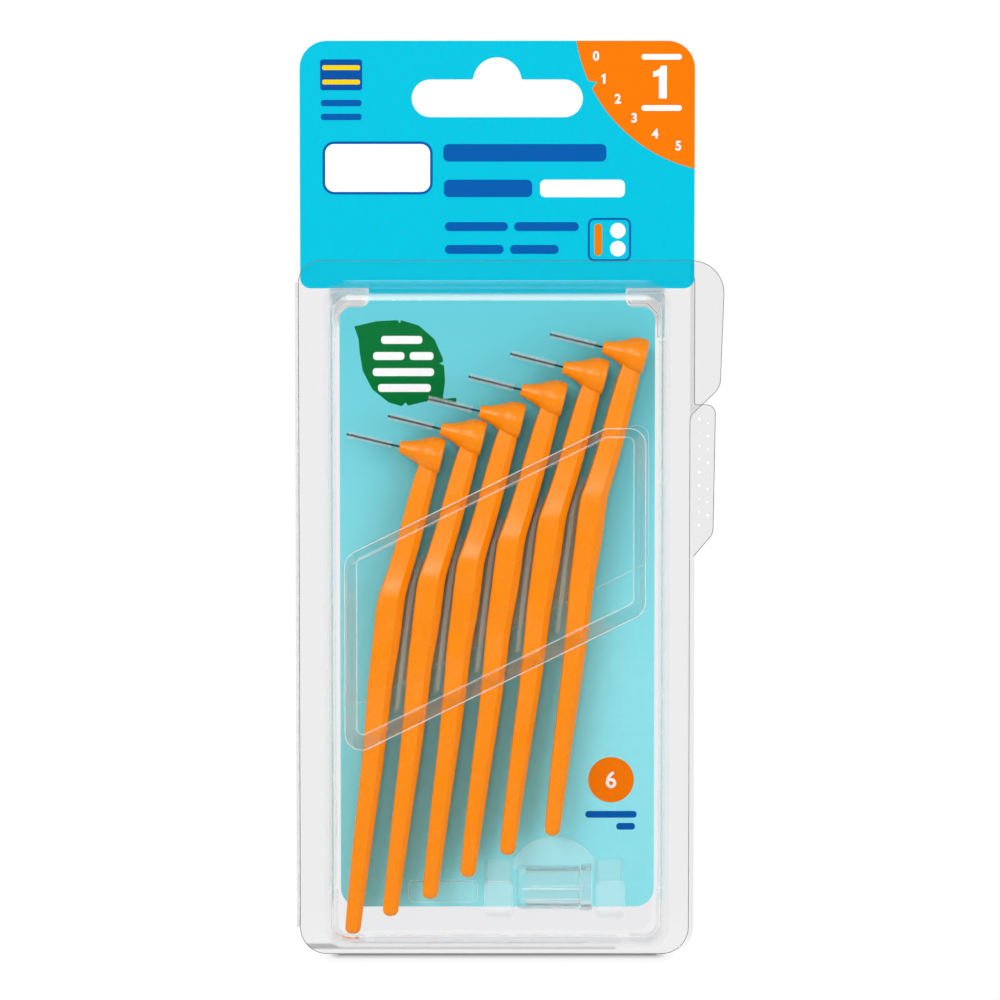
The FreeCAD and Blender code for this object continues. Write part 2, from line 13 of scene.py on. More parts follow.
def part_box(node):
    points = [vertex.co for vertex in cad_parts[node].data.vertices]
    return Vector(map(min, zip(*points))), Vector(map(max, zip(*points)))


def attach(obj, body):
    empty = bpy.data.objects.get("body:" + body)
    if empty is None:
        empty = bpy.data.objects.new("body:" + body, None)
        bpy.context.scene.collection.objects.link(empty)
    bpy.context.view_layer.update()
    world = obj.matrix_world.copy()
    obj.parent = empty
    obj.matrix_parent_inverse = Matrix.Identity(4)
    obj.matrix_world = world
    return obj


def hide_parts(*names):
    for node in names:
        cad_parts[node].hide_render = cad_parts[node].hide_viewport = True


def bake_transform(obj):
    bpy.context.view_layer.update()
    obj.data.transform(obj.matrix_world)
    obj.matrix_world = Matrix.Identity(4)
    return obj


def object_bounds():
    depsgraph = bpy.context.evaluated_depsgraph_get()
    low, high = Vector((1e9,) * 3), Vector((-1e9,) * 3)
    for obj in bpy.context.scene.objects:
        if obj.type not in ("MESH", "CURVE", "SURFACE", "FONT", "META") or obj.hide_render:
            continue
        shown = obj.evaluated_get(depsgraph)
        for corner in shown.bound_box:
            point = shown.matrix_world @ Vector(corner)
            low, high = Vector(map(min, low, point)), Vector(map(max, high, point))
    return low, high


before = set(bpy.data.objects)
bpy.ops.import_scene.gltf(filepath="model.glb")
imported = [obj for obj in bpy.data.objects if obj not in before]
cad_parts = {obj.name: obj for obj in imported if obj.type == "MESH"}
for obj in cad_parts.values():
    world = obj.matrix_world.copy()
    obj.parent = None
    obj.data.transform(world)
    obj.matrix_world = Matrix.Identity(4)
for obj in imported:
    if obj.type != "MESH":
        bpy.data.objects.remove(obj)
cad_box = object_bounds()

MM = 0.001
LIGHT_BOUNCES = 24
# How close the corners of a CAD node lie that are one, and how far they may be off a flat face.
WELD = 0.001 * MM
FACE_SLACK = 0.01 * MM
CORNER_STEPS = 6
Point = tuple[float, float]
Tint = tuple[float, float, float]
Colour = tuple[float, float, float, float]
Bar = tuple[float, float, float, float, float]
Limit = tuple[str, float, float]
EdgeTest = Callable[[Vector, Vector], bool]
log = logging.getLogger("brush_pack")


class Shade(Enum):
    """Colours of the inks and plastics, as the eye reads them, 0 to 255."""

    TURQUOISE = (0, 189, 216)
    PALE_TURQUOISE = (98, 202, 214)
    PALEST_TURQUOISE = (144, 226, 234)
    DEEP_BLUE = (0, 88, 168)
    DIAL_ORANGE = (242, 118, 0)
    HANDLE_ORANGE = (255, 143, 0)
    LEAF_GREEN = (0, 114, 52)
    WHITE = (250, 250, 250)
    BAND_BLUE = (0, 78, 160)
    BAND_YELLOW = (255, 205, 20)
    BOARD = (242, 241, 238)
    BACK_BAR = (96, 128, 140)

    def linear(self) -> Colour:
        """The colour as linear light.

        Returns:
            Its red, green and blue, and full opacity.
        """
        parts = [c / 255 for c in self.value]
        light = [c / 12.92 if c <= 0.04045 else ((c + 0.055) / 1.055) ** 2.4 for c in parts]
        return (*light, 1.0)


class Nodes:
    """Adds nodes to one tree and joins them."""

    patch_range: Point = (0.35, 0.65)

    def __init__(self, tree: bpy.types.NodeTree) -> None:
        """Takes the tree over, emptied."""
        self.tree = tree
        tree.nodes.clear()

    def add(self, kind: str, inputs: Optional[dict[Any, Any]] = None, **settings: Any) -> bpy.types.Node:
        """Adds a node.

        Args:
            kind: the node's type name.
            inputs: for each input's name or number, a plain value or the socket that feeds it.
            settings: properties of the node, set before its inputs.

        Returns:
            The new node.
        """
        node = self.tree.nodes.new(kind)
        for name, value in settings.items():
            setattr(node, name, value)
        for key, value in (inputs or {}).items():
            self.feed(self.socket(node, key), value)
        return node

    def feed(self, socket: bpy.types.NodeSocket, value: Any) -> None:
        """Gives an input its value.

        Args:
            socket: the input.
            value: a plain value, or the socket that feeds it.
        """
        if isinstance(value, bpy.types.NodeSocket):
            self.tree.links.new(value, socket)
        else:
            socket.default_value = value

    @staticmethod
    def socket(node: bpy.types.Node, key: Any) -> bpy.types.NodeSocket:
        """Finds a live input.

        Args:
            node: the node that has it.
            key: its name or number.

        Returns:
            The input.
        """
        if isinstance(key, int):
            return node.inputs[key]
        return next(s for s in node.inputs if s.name == key and s.enabled)

    @staticmethod
    def out(node: bpy.types.Node) -> bpy.types.NodeSocket:
        """The node's first live output."""
        return next(s for s in node.outputs if s.enabled)

    def math(self, operation: str, *values: Any) -> bpy.types.NodeSocket:
        """A Math node's result."""
        return self.out(self.add("ShaderNodeMath", dict(enumerate(values)), operation=operation))

    def noise(self, scale: float, detail: float = 2.0) -> bpy.types.NodeSocket:
        """A noise over object coordinates, from about 0.3 to 0.7.

        Args:
            scale: its waves per metre.
            detail: how many finer waves it adds to them.

        Returns:
            The noise.
        """
        place = self.add("ShaderNodeTexCoord").outputs["Object"]
        found = self.add("ShaderNodeTexNoise", {"Vector": place, "Scale": scale, "Detail": detail})
        return found.outputs["Fac"]

    def patches(
        self, scale: float, detail: float = 2.0, low: float = 0.0, high: float = 1.0
    ) -> bpy.types.NodeSocket:
        """Soft patches of a noise, from low to high."""
        return self.ramp(self.noise(scale, detail), *self.patch_range, low, high)

    def place(self) -> Any:
        """X, Y and Z of each point, in object coordinates."""
        spot = self.add("ShaderNodeTexCoord").outputs["Object"]
        return self.add("ShaderNodeSeparateXYZ", {0: spot}).outputs

    def steps(self, value: Any, stops: Sequence[Point]) -> bpy.types.NodeSocket:
        """A smooth curve through stops.

        Args:
            value: where to read the curve, from 0 to 1.
            stops: each a place from 0 to 1 and a level.

        Returns:
            The level there, as a grey.
        """
        node = self.add("ShaderNodeValToRGB", {"Fac": value})
        curve = node.color_ramp
        curve.interpolation = "EASE"
        for spot, _ in stops[1:-1]:
            curve.elements.new(spot)
        for element, (spot, level) in zip(curve.elements, stops):
            element.position = spot
            element.color = (level, level, level, 1.0)
        return node.outputs["Color"]

    def ramp(
        self, value: Any, low: float, high: float, to_low: float, to_high: float
    ) -> bpy.types.NodeSocket:
        """value moved from one range into another, and held inside it."""
        inputs = {"Value": value, "From Min": low, "From Max": high, "To Min": to_low, "To Max": to_high}
        return self.add("ShaderNodeMapRange", inputs).outputs["Result"]

    def blend(self, factor: Any, first: Any, second: Any) -> bpy.types.NodeSocket:
        """A mix of two colours.

        Args:
            factor: 0 for the first, 1 for the second.
            first: a colour or its socket.
            second: a colour or its socket.

        Returns:
            The mixed colour.
        """
        node = self.add("ShaderNodeMix", data_type="RGBA")
        for key, value in ((0, factor), (6, first), (7, second)):
            self.feed(node.inputs[key], value)
        return node.outputs[2]

    def bump(self, height: bpy.types.NodeSocket, depth: float) -> bpy.types.NodeSocket:
        """A surface normal raised by height, by at most depth in metres."""
        return self.add("ShaderNodeBump", {"Height": height, "Distance": depth}).outputs["Normal"]

    def see_through(self, colour: Colour = (1.0, 1.0, 1.0, 1.0)) -> bpy.types.Node:
        """A shader that lets every ray pass straight on."""
        return self.add("ShaderNodeBsdfTransparent", {"Color": colour})

    def mixed(self, factor: Any, first: bpy.types.Node, second: bpy.types.Node) -> bpy.types.Node:
        """A mix of two shaders, where 1 gives the second."""
        return self.add("ShaderNodeMixShader", {0: factor, 1: first.outputs[0], 2: second.outputs[0]})

    def lamplight(self) -> bpy.types.NodeSocket:
        """1 for the rays that carry light to what lies behind a clear sheet, 0 for the others."""
        path = self.add("ShaderNodeLightPath").outputs
        return self.math("MAXIMUM", path["Is Shadow Ray"], path["Is Diffuse Ray"])


def new_material(name: str) -> tuple[bpy.types.Material, Nodes]:
    """A material with an empty node tree.

    Args:
        name: what the material is called.

    Returns:
        The material and its tree's helper.
    """
    material = bpy.data.materials.new(name)
    material.use_nodes = True
    return material, Nodes(material.node_tree)


def close_material(nodes: Nodes, shader: bpy.types.Node) -> None:
    """Joins a shader to the material's output."""
    nodes.add("ShaderNodeOutputMaterial", {"Surface": shader.outputs[0]})


def darker(colour: Colour, share: float, lift: float = 0.0) -> Colour:
    """A colour at a share of its light, lifted a little."""
    return (*(c * share + lift for c in colour[:3]), 1.0)


@dataclass(frozen=True)
class Finish:
    """A solid finish. Each kind says what goes into its shader."""

    name: str

    def inputs(self, n: Nodes) -> dict[str, Any]:
        """What goes into the shader, by the names of its inputs."""
        raise NotImplementedError

    def build(self) -> bpy.types.Material:
        """Makes the material.

        Returns:
            The new material.
        """
        material, n = new_material(self.name)
        close_material(n, n.add("ShaderNodeBsdfPrincipled", self.inputs(n)))
        return material


@dataclass(frozen=True)
class TintZone:
    """Part of a sheet with another tint or a haze. Lengths are in millimetres.

    Each limit is an axis, where the zone starts and where it is full. Besides X, Y and Z, axis A is
    the distance from the middle, and S the height above the slanted row of brushes.
    """

    tint: Tint
    limits: tuple[Limit, ...]
    haze: float = 0.0
    slope: float = 0.484

    def factor(self, n: Nodes, parts: Any) -> bpy.types.NodeSocket:
        """How far a point lies inside the zone.

        Args:
            n: the material's nodes.
            parts: X, Y and Z of the point.

        Returns:
            A number from 0 to 1.
        """
        inside = n.math("ADD", 1.0, 0.0)
        for axis, start, full in self.limits:
            if axis == "S":
                value = n.math("SUBTRACT", parts["Z"], n.math("MULTIPLY", parts["X"], self.slope))
            elif axis == "A":
                value = n.math("ABSOLUTE", parts["X"])
            else:
                value = parts[axis]
            inside = n.math("MULTIPLY", inside, n.ramp(value, start * MM, full * MM, 0.0, 1.0))
        return inside


@dataclass(frozen=True)
class ClearFilm:
    """Clear formed sheet or moulding, which lets lamps through to what it covers.

    walls holds how far out the side walls stand and at what heights the top and foot walls lie.
    edge_on and sloping are ranges of how far a face turns away from the eye, and straight is the
    share of light that passes such a face unbent. Lengths are in metres.
    """

    name: str
    tint: Tint
    zones: tuple[TintZone, ...] = ()
    painted_edge_shade: Tint = (0.965, 0.967, 0.97)
    painted_wall_shade: Tint = (0.82, 0.822, 0.828)
    thin_tint: Tint = (0.95, 0.952, 0.955)
    walls: tuple[float, float, float] = (30.2 * MM, -36.5 * MM, -157.5 * MM)
    wall_step: float = 1.2 * MM
    edge_on: Point = (0.55, 0.95)
    sloping: Point = (0.25, 0.7)
    straight: float = 0.8
    roughness: float = 0.02
    index: float = 1.15
    clear: float = 1.0
    waves: float = 90.0
    wave_depth: float = 0.0004 * MM

    def build(self) -> bpy.types.Material:
        """Makes the material, greyer where it is seen edge on, and most so in the outer walls, as painted
        shade.

        Returns:
            The new material.
        """
        material, n = new_material(self.name)
        parts = n.place()
        side, top, foot = self.walls
        outer = n.ramp(n.math("ABSOLUTE", parts["X"]), side, side + self.wall_step, 0.0, 1.0)
        outer = n.math("MAXIMUM", outer, n.ramp(parts["Z"], top - self.wall_step, top, 0.0, 1.0))
        outer = n.math("MAXIMUM", outer, n.ramp(parts["Z"], foot + self.wall_step, foot, 0.0, 1.0))
        facing = n.add("ShaderNodeLayerWeight", {"Blend": 0.5}).outputs["Facing"]
        # Grey of edge-on faces and of the outer walls: painted shade for the light that the real clear
        # sheet bends and reflects away there.
        edge_shade_colour = n.blend(outer, (*self.painted_edge_shade, 1.0), (*self.painted_wall_shade, 1.0))
        colour = n.blend(n.ramp(facing, *self.edge_on, 0.0, 1.0), (*self.tint, 1.0), edge_shade_colour)
        clear: Any = self.clear
        for zone in self.zones:
            inside = zone.factor(n, parts)
            colour = n.blend(inside, colour, (*zone.tint, 1.0))
            if zone.haze:
                clear = n.math("SUBTRACT", clear, n.math("MULTIPLY", inside, zone.haze))
        film = n.add(
            "ShaderNodeBsdfPrincipled",
            {
                "Base Color": colour,
                "Roughness": self.roughness,
                "IOR": self.index,
                "Transmission Weight": clear,
                "Normal": n.bump(n.noise(self.waves, 1.0), self.wave_depth),
            },
        )
        thin = n.see_through((*self.thin_tint, 1.0))
        sheet = n.mixed(n.ramp(facing, *self.sloping, 0.0, self.straight), film, thin)
        close_material(n, n.mixed(n.lamplight(), sheet, n.see_through()))
        return material


@dataclass(frozen=True)
class CaseFilms:
    """The clear films of the case and the cap, and the zones of each that are tinted or hazy; some zones
    are painted shade and some painted highlights.
    """

    cover_tint: Tint = (0.932, 0.932, 0.937)
    rear_tint: Tint = (0.925, 0.925, 0.93)
    tray_tint: Tint = (0.97, 0.97, 0.975)
    cap_tint: Tint = (0.93, 0.955, 0.955)
    tray_wave_depth: float = 0.003 * MM
    tabs: TintZone = TintZone((0.845, 0.84, 0.845), (("X", 36.4, 36.7),))
    dome_top: tuple[Limit, ...] = (("Y", -0.6, -0.9), ("A", 29.5, 27.5))
    # Whitish hazy bands on the rounded top wall: painted highlights.
    gleam_tint: Tint = (0.99, 0.99, 0.99)
    gleams: tuple[tuple[Point, Point, float], ...] = (
        ((-35.05, -34.95), (-34.25, -34.35), 0.5),
        ((-35.95, -35.85), (-35.45, -35.55), 0.35),
        ((-38.1, -37.8), (-36.6, -36.8), 0.3),
    )
    # A dark band low on the cover, at its foot wall: painted shade.
    painted_foot_shade: TintZone = TintZone(
        (0.50, 0.50, 0.505), (("X", 22.9, 22.3), ("Z", -160.7, -161.1), ("Z", -162.1, -161.8))
    )
    pressed: TintZone = TintZone((0.84, 0.84, 0.85), (("Y", -0.25, -0.6),))
    corners: TintZone = TintZone(
        (0.64, 0.64, 0.645),
        (("A", 24.0, 25.5), ("A", 31.8, 31.2), ("Z", -43.5, -41.5), ("Z", -35.5, -36.2)),
    )
    # Brownish grey between the handles: painted shade with painted orange light bounced from the handles.
    behind: TintZone = TintZone(
        (0.74, 0.61, 0.47),
        (("S", -109.5, -105.5), ("S", -79.0, -83.5), ("X", -22.0, -20.0), ("X", 18.2, 16.6)),
        haze=0.24,
    )
    # Brownish grey on the ribs between the handles: painted shade with painted orange light bounced from
    # the handles.
    ribs: TintZone = TintZone((0.68, 0.58, 0.48), (("Y", -2.6, -3.4), ("S", -110.0, -106.5)), haze=0.05)
    stops: TintZone = TintZone((0.95, 0.975, 0.98), (("Y", -0.9, -1.4), ("Z", -139.0, -141.0)), haze=0.13)

    def cover(self) -> bpy.types.Material:
        """The deep cover's film, with painted highlight bands where its top wall is rounded and a band of
        painted shade low at its foot.

        Returns:
            The new material.
        """
        gleams = [
            TintZone(self.gleam_tint, (*self.dome_top, ("Z", *foot), ("Z", *top)), haze)
            for foot, top, haze in self.gleams
        ]
        return ClearFilm("cover_film", self.cover_tint, (self.tabs, *gleams, self.painted_foot_shade)).build()

    def rear(self) -> bpy.types.Material:
        """The rear sheet's film, greyer where it is pressed and in its top corners."""
        return ClearFilm("rear_film", self.rear_tint, (self.tabs, self.pressed, self.corners)).build()

    def tray(self) -> bpy.types.Material:
        """The tray's film, with painted shade and painted orange light bounced from the handles between
        them, and hazy at its foot.
        """
        zones = (self.behind, self.ribs, self.stops)
        return ClearFilm("tray_film", self.tray_tint, zones, wave_depth=self.tray_wave_depth).build()

    def cap(self) -> bpy.types.Material:
        """The cap's thicker moulding."""
        return ClearFilm("cap_film", self.cap_tint, roughness=0.05, index=1.36, clear=0.95).build()


@dataclass(frozen=True)
class MouldedPlastic(Finish):
    """Satin moulded plastic, a little translucent, with faint flow marks."""

    shade: Shade
    deep_shares: Tint = (0.99, 0.97, 0.9)
    roughness: Point = (0.20, 0.32)
    rough_range: Point = (0.3, 0.7)
    index: float = 1.49
    gloss: float = 0.36
    glow: float = 0.18
    glow_reach: Tint = (1.0, 0.32, 0.08)
    glow_depth: float = 0.9 * MM
    grain: float = 1400.0
    grains_a_patch: float = 6.0
    grain_depth: float = 0.0002 * MM
    flow: float = 140.0

    def inputs(self, n: Nodes) -> dict[str, Any]:
        """What goes into the shader.

        Args:
            n: the material's nodes.

        Returns:
            Plain values and sockets, by the names of the shader's inputs.
        """
        base = self.shade.linear()
        deep = (*(c * share for c, share in zip(base, self.deep_shares)), 1.0)
        worn = n.noise(self.grain / self.grains_a_patch)
        return {
            "Base Color": n.blend(n.patches(self.flow), deep, base),
            "Roughness": n.ramp(worn, *self.rough_range, *self.roughness),
            "IOR": self.index,
            "Specular IOR Level": self.gloss,
            "Subsurface Weight": self.glow,
            "Subsurface Radius": self.glow_reach,
            "Subsurface Scale": self.glow_depth,
            "Normal": n.bump(n.noise(self.grain), self.grain_depth),
        }


@dataclass(frozen=True)
class PrintedInk(Finish):
    """Ink on coated board, with a faint mottle and a thin varnish.

    Where there is a lower shade, the ink grows towards it down the card, over the fade's heights.
    """

    shade: Shade
    lower_shade: Optional[Shade] = None
    fade: Point = (-35 * MM, -110 * MM)
    worn_share: float = 0.96
    worn_lift: float = 0.0015
    least_fresh: float = 0.88
    mottle: float = 900.0
    tooth: float = 4500.0
    tooth_depth: float = 0.002 * MM
    roughness: float = 0.42
    gloss: float = 0.03

    def inputs(self, n: Nodes) -> dict[str, Any]:
        """What goes into the shader.

        Args:
            n: the material's nodes.

        Returns:
            Plain values and sockets, by the names of the shader's inputs.
        """
        base: Any = self.shade.linear()
        worn = darker(base, self.worn_share, self.worn_lift)
        least_fresh = 0.0
        if self.lower_shade:
            down = n.ramp(n.place()["Z"], *self.fade, 0.0, 1.0)
            base = n.blend(down, base, self.lower_shade.linear())
            least_fresh = self.least_fresh
        return {
            "Base Color": n.blend(n.patches(self.mottle, 3.0, least_fresh), worn, base),
            "Roughness": self.roughness,
            "Specular IOR Level": self.gloss,
            "Normal": n.bump(n.noise(self.tooth), self.tooth_depth),
        }


@dataclass(frozen=True)
class FoldedBoard(Finish):
    """White board, with its fibres showing on the cut edge."""

    fibres: float = 2600.0
    fibre_range: Point = (0.4, 0.65)
    fibre_share: float = 0.86
    fibre_depth: float = 0.01 * MM
    roughness: float = 0.75
    gloss: float = 0.2

    def inputs(self, n: Nodes) -> dict[str, Any]:
        """What goes into the shader.

        Args:
            n: the material's nodes.

        Returns:
            Plain values and sockets, by the names of the shader's inputs.
        """
        base = Shade.BOARD.linear()
        fibre = n.noise(self.fibres, 4.0)
        grey = n.ramp(fibre, *self.fibre_range, 0.0, 1.0)
        return {
            "Base Color": n.blend(grey, base, darker(base, self.fibre_share)),
            "Roughness": self.roughness,
            "Specular IOR Level": self.gloss,
            "Normal": n.bump(fibre, self.fibre_depth),
        }


@dataclass(frozen=True)
class TwistedSteel(Finish):
    """Drawn steel wire, dark between its highlights."""

    draw_marks: float = 9000.0
    dark: Colour = (0.03, 0.03, 0.035, 1.0)
    light: Colour = (0.16, 0.16, 0.17, 1.0)
    roughness: Point = (0.40, 0.26)

    def inputs(self, n: Nodes) -> dict[str, Any]:
        """What goes into the shader.

        Args:
            n: the material's nodes.

        Returns:
            Plain values and sockets, by the names of the shader's inputs.
        """
        marks = n.patches(self.draw_marks)
        return {
            "Base Color": n.blend(marks, self.dark, self.light),
            "Metallic": 1.0,
            "Roughness": n.ramp(marks, 0.0, 1.0, *self.roughness),
        }


@dataclass(frozen=True)
class NylonFilament(Finish):
    """Pale fine filament, matt, with a slight sheen."""

    tones: float = 1400.0
    dark: Colour = (0.56, 0.60, 0.61, 1.0)
    light: Colour = (0.80, 0.83, 0.84, 1.0)
    roughness: float = 0.45
    sheen: float = 0.2

    def inputs(self, n: Nodes) -> dict[str, Any]:
        """What goes into the shader.

        Args:
            n: the material's nodes.

        Returns:
            Plain values and sockets, by the names of the shader's inputs.
        """
        return {
            "Base Color": n.blend(n.patches(self.tones, 1.0), self.dark, self.light),
            "Roughness": self.roughness,
            "Sheen Weight": self.sheen,
        }


@dataclass(frozen=True)
class FormedEdge:
    """The rounded or cut edge of a clear sheet, which the eye sees as a fine line; a pale tone paints its
    highlight, a dark one its shade.
    """

    name: str
    tone: float
    clear: float
    least_tone_share: float = 0.8
    tones: float = 500.0
    roughness: float = 0.3
    gloss: float = 0.6

    def build(self) -> bpy.types.Material:
        """Makes the material.

        Returns:
            The new material.
        """
        material, n = new_material(self.name)
        tone = n.patches(self.tones, 2.0, self.tone * self.least_tone_share, self.tone)
        shade = n.add("ShaderNodeCombineXYZ", {0: tone, 1: tone, 2: tone}).outputs[0]
        inputs = {"Base Color": shade, "Roughness": self.roughness, "Specular IOR Level": self.gloss}
        line = n.add("ShaderNodeBsdfPrincipled", inputs)
        passing = n.math("MAXIMUM", n.lamplight(), self.clear)
        close_material(n, n.mixed(passing, line, n.see_through()))
        return material


def as_object(name: str, work: bmesh.types.BMesh) -> bpy.types.Object:
    """Turns finished mesh work into an object at the origin.

    Args:
        name: the piece's name.
        work: its mesh, which is used up.

    Returns:
        The new object.
    """
    mesh = bpy.data.meshes.new(name)
    work.to_mesh(mesh)
    work.free()
    made = bpy.data.objects.new(name, mesh)
    bpy.context.scene.collection.objects.link(made)
    return made


def thicken(work: bmesh.types.BMesh, step: float) -> None:
    """Makes a closed slab of flat faces.

    Args:
        work: the faces.
        step: how far the slab reaches from them along Y.
    """
    grown = bmesh.ops.extrude_face_region(work, geom=work.faces[:])
    moved = [v for v in grown["geom"] if isinstance(v, bmesh.types.BMVert)]
    bmesh.ops.translate(work, verts=moved, vec=(0, step, 0))
    bmesh.ops.recalc_face_normals(work, faces=work.faces)


def flat_slab(name: str, outline: Sequence[Point], front: float, layer: float) -> bpy.types.Object:
    """A thin closed slab over an outline in the plane of the card.

    Args:
        name: the piece's name.
        outline: its corners as x and z in metres, in order, either way round.
        front: y of its front face.
        layer: its thickness, away from the viewer.

    Returns:
        The new object, at the origin.
    """
    work = bmesh.new()
    face = work.faces.new([work.verts.new((x, front, z)) for x, z in outline])
    face.normal_update()
    if face.normal.y > 0:
        face.normal_flip()
    thicken(work, layer)
    bmesh.ops.triangulate(work, faces=work.faces, ngon_method="EAR_CLIP")
    return as_object(name, work)


def joined(name: str, pieces: Sequence[bpy.types.Object]) -> bpy.types.Object:
    """Several meshes of one material as one mesh.

    Args:
        name: the joined piece's name.
        pieces: the objects, which are used up.

    Returns:
        The joined object, at the origin.
    """
    work = bmesh.new()
    for piece in pieces:
        work.from_mesh(piece.data)
        bpy.data.objects.remove(piece)
    return as_object(name, work)


def arc_points(centre: Point, radius: float, start: float, end: float, steps: int) -> list[Point]:
    """Points along an arc, its ends included. Angles are in degrees."""
    turns = [math.radians(start + (end - start) * i / steps) for i in range(steps + 1)]
    return [(centre[0] + radius * math.cos(t), centre[1] + radius * math.sin(t)) for t in turns]


def round_points(centre: Point, radius: float, count: int) -> list[Point]:
    """Points round a whole circle, evenly spaced."""
    return arc_points(centre, radius, 0, 360 - 360 / count, count - 1)


def rounded_bar(left: float, right: float, foot: float, top: float, radius: float) -> list[Point]:
    """Corners of a rectangle with round corners.

    Args:
        left: its least x.
        right: its greatest x.
        foot: its least height.
        top: its greatest height.
        radius: how far its corners are rounded.

    Returns:
        The points of its outline, in order.
    """
    spots = (
        ((right - radius, foot + radius), -90),
        ((right - radius, top - radius), 0),
        ((left + radius, top - radius), 90),
        ((left + radius, foot + radius), 180),
    )
    return [p for centre, turn in spots for p in arc_points(centre, radius, turn, turn + 90, CORNER_STEPS)]


def bar_outlines(*bars: Bar) -> list[list[Point]]:
    """The outline of each bar, given by its left, right, foot, top and corner radius."""
    return [rounded_bar(*bar) for bar in bars]


def dress(piece: bpy.types.Object, material: bpy.types.Material, body: str) -> None:
    """Gives a new piece its material and the body it moves with.

    Args:
        piece: the piece.
        material: what it is made of.
        body: the body it moves with.
    """
    piece.data.materials.clear()
    piece.data.materials.append(material)
    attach(piece, body)
    log.info("%s: %d faces, rides on %s", piece.name, len(piece.data.polygons), body)


def dress_node(name: str, material: bpy.types.Material) -> None:
    """Gives a CAD node a material, and leaves its mesh as it is.

    Args:
        name: the node's name.
        material: what it is made of.
    """
    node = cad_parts[name]
    if not node.data.materials:
        node.data.materials.append(material)
    for index in range(len(node.material_slots)):
        node.material_slots[index].material = material
    log.info("%s wears %s", name, material.name)


@dataclass
class Camera:
    """Long lens in front of the card, a little above its middle. Lengths are in millimetres."""

    aim_x: float = 0.513
    aim_z: float = -75.95
    distance: float = 700.0
    elevation_deg: float = 3.5
    picture_mm: float = 190.0
    sensor_mm: float = 36.0

    def build(self) -> None:
        """Adds the camera and makes it the scene's own."""
        data = bpy.data.cameras.new("camera")
        data.sensor_width = self.sensor_mm
        data.lens = self.sensor_mm * self.distance / self.picture_mm
        camera = bpy.data.objects.new("camera", data)
        bpy.context.scene.collection.objects.link(camera)
        tilt = math.radians(self.elevation_deg)
        aim = Vector((self.aim_x, 0, self.aim_z)) * MM
        away = Vector((0, -math.cos(tilt), math.sin(tilt))) * self.distance * MM
        camera.location = aim + away
        camera.rotation_euler = (math.pi / 2 - tilt, 0, 0)
        bpy.context.scene.camera = camera


@dataclass(frozen=True)
class Lamp:
    """A soft rectangular lamp. Lengths are in metres."""

    name: str
    place: tuple[float, float, float]
    size: Point
    watts: float

    def build(self, target: Vector) -> None:
        """Adds the lamp.

        Args:
            target: where it points.
        """
        data = bpy.data.lights.new(self.name, "AREA")
        data.shape = "RECTANGLE"
        data.size, data.size_y = self.size
        data.energy = self.watts
        lamp = bpy.data.objects.new(self.name, data)
        bpy.context.scene.collection.objects.link(lamp)
        lamp.location = self.place
        lamp.rotation_euler = (target - lamp.location).to_track_quat("-Z", "Y").to_euler()


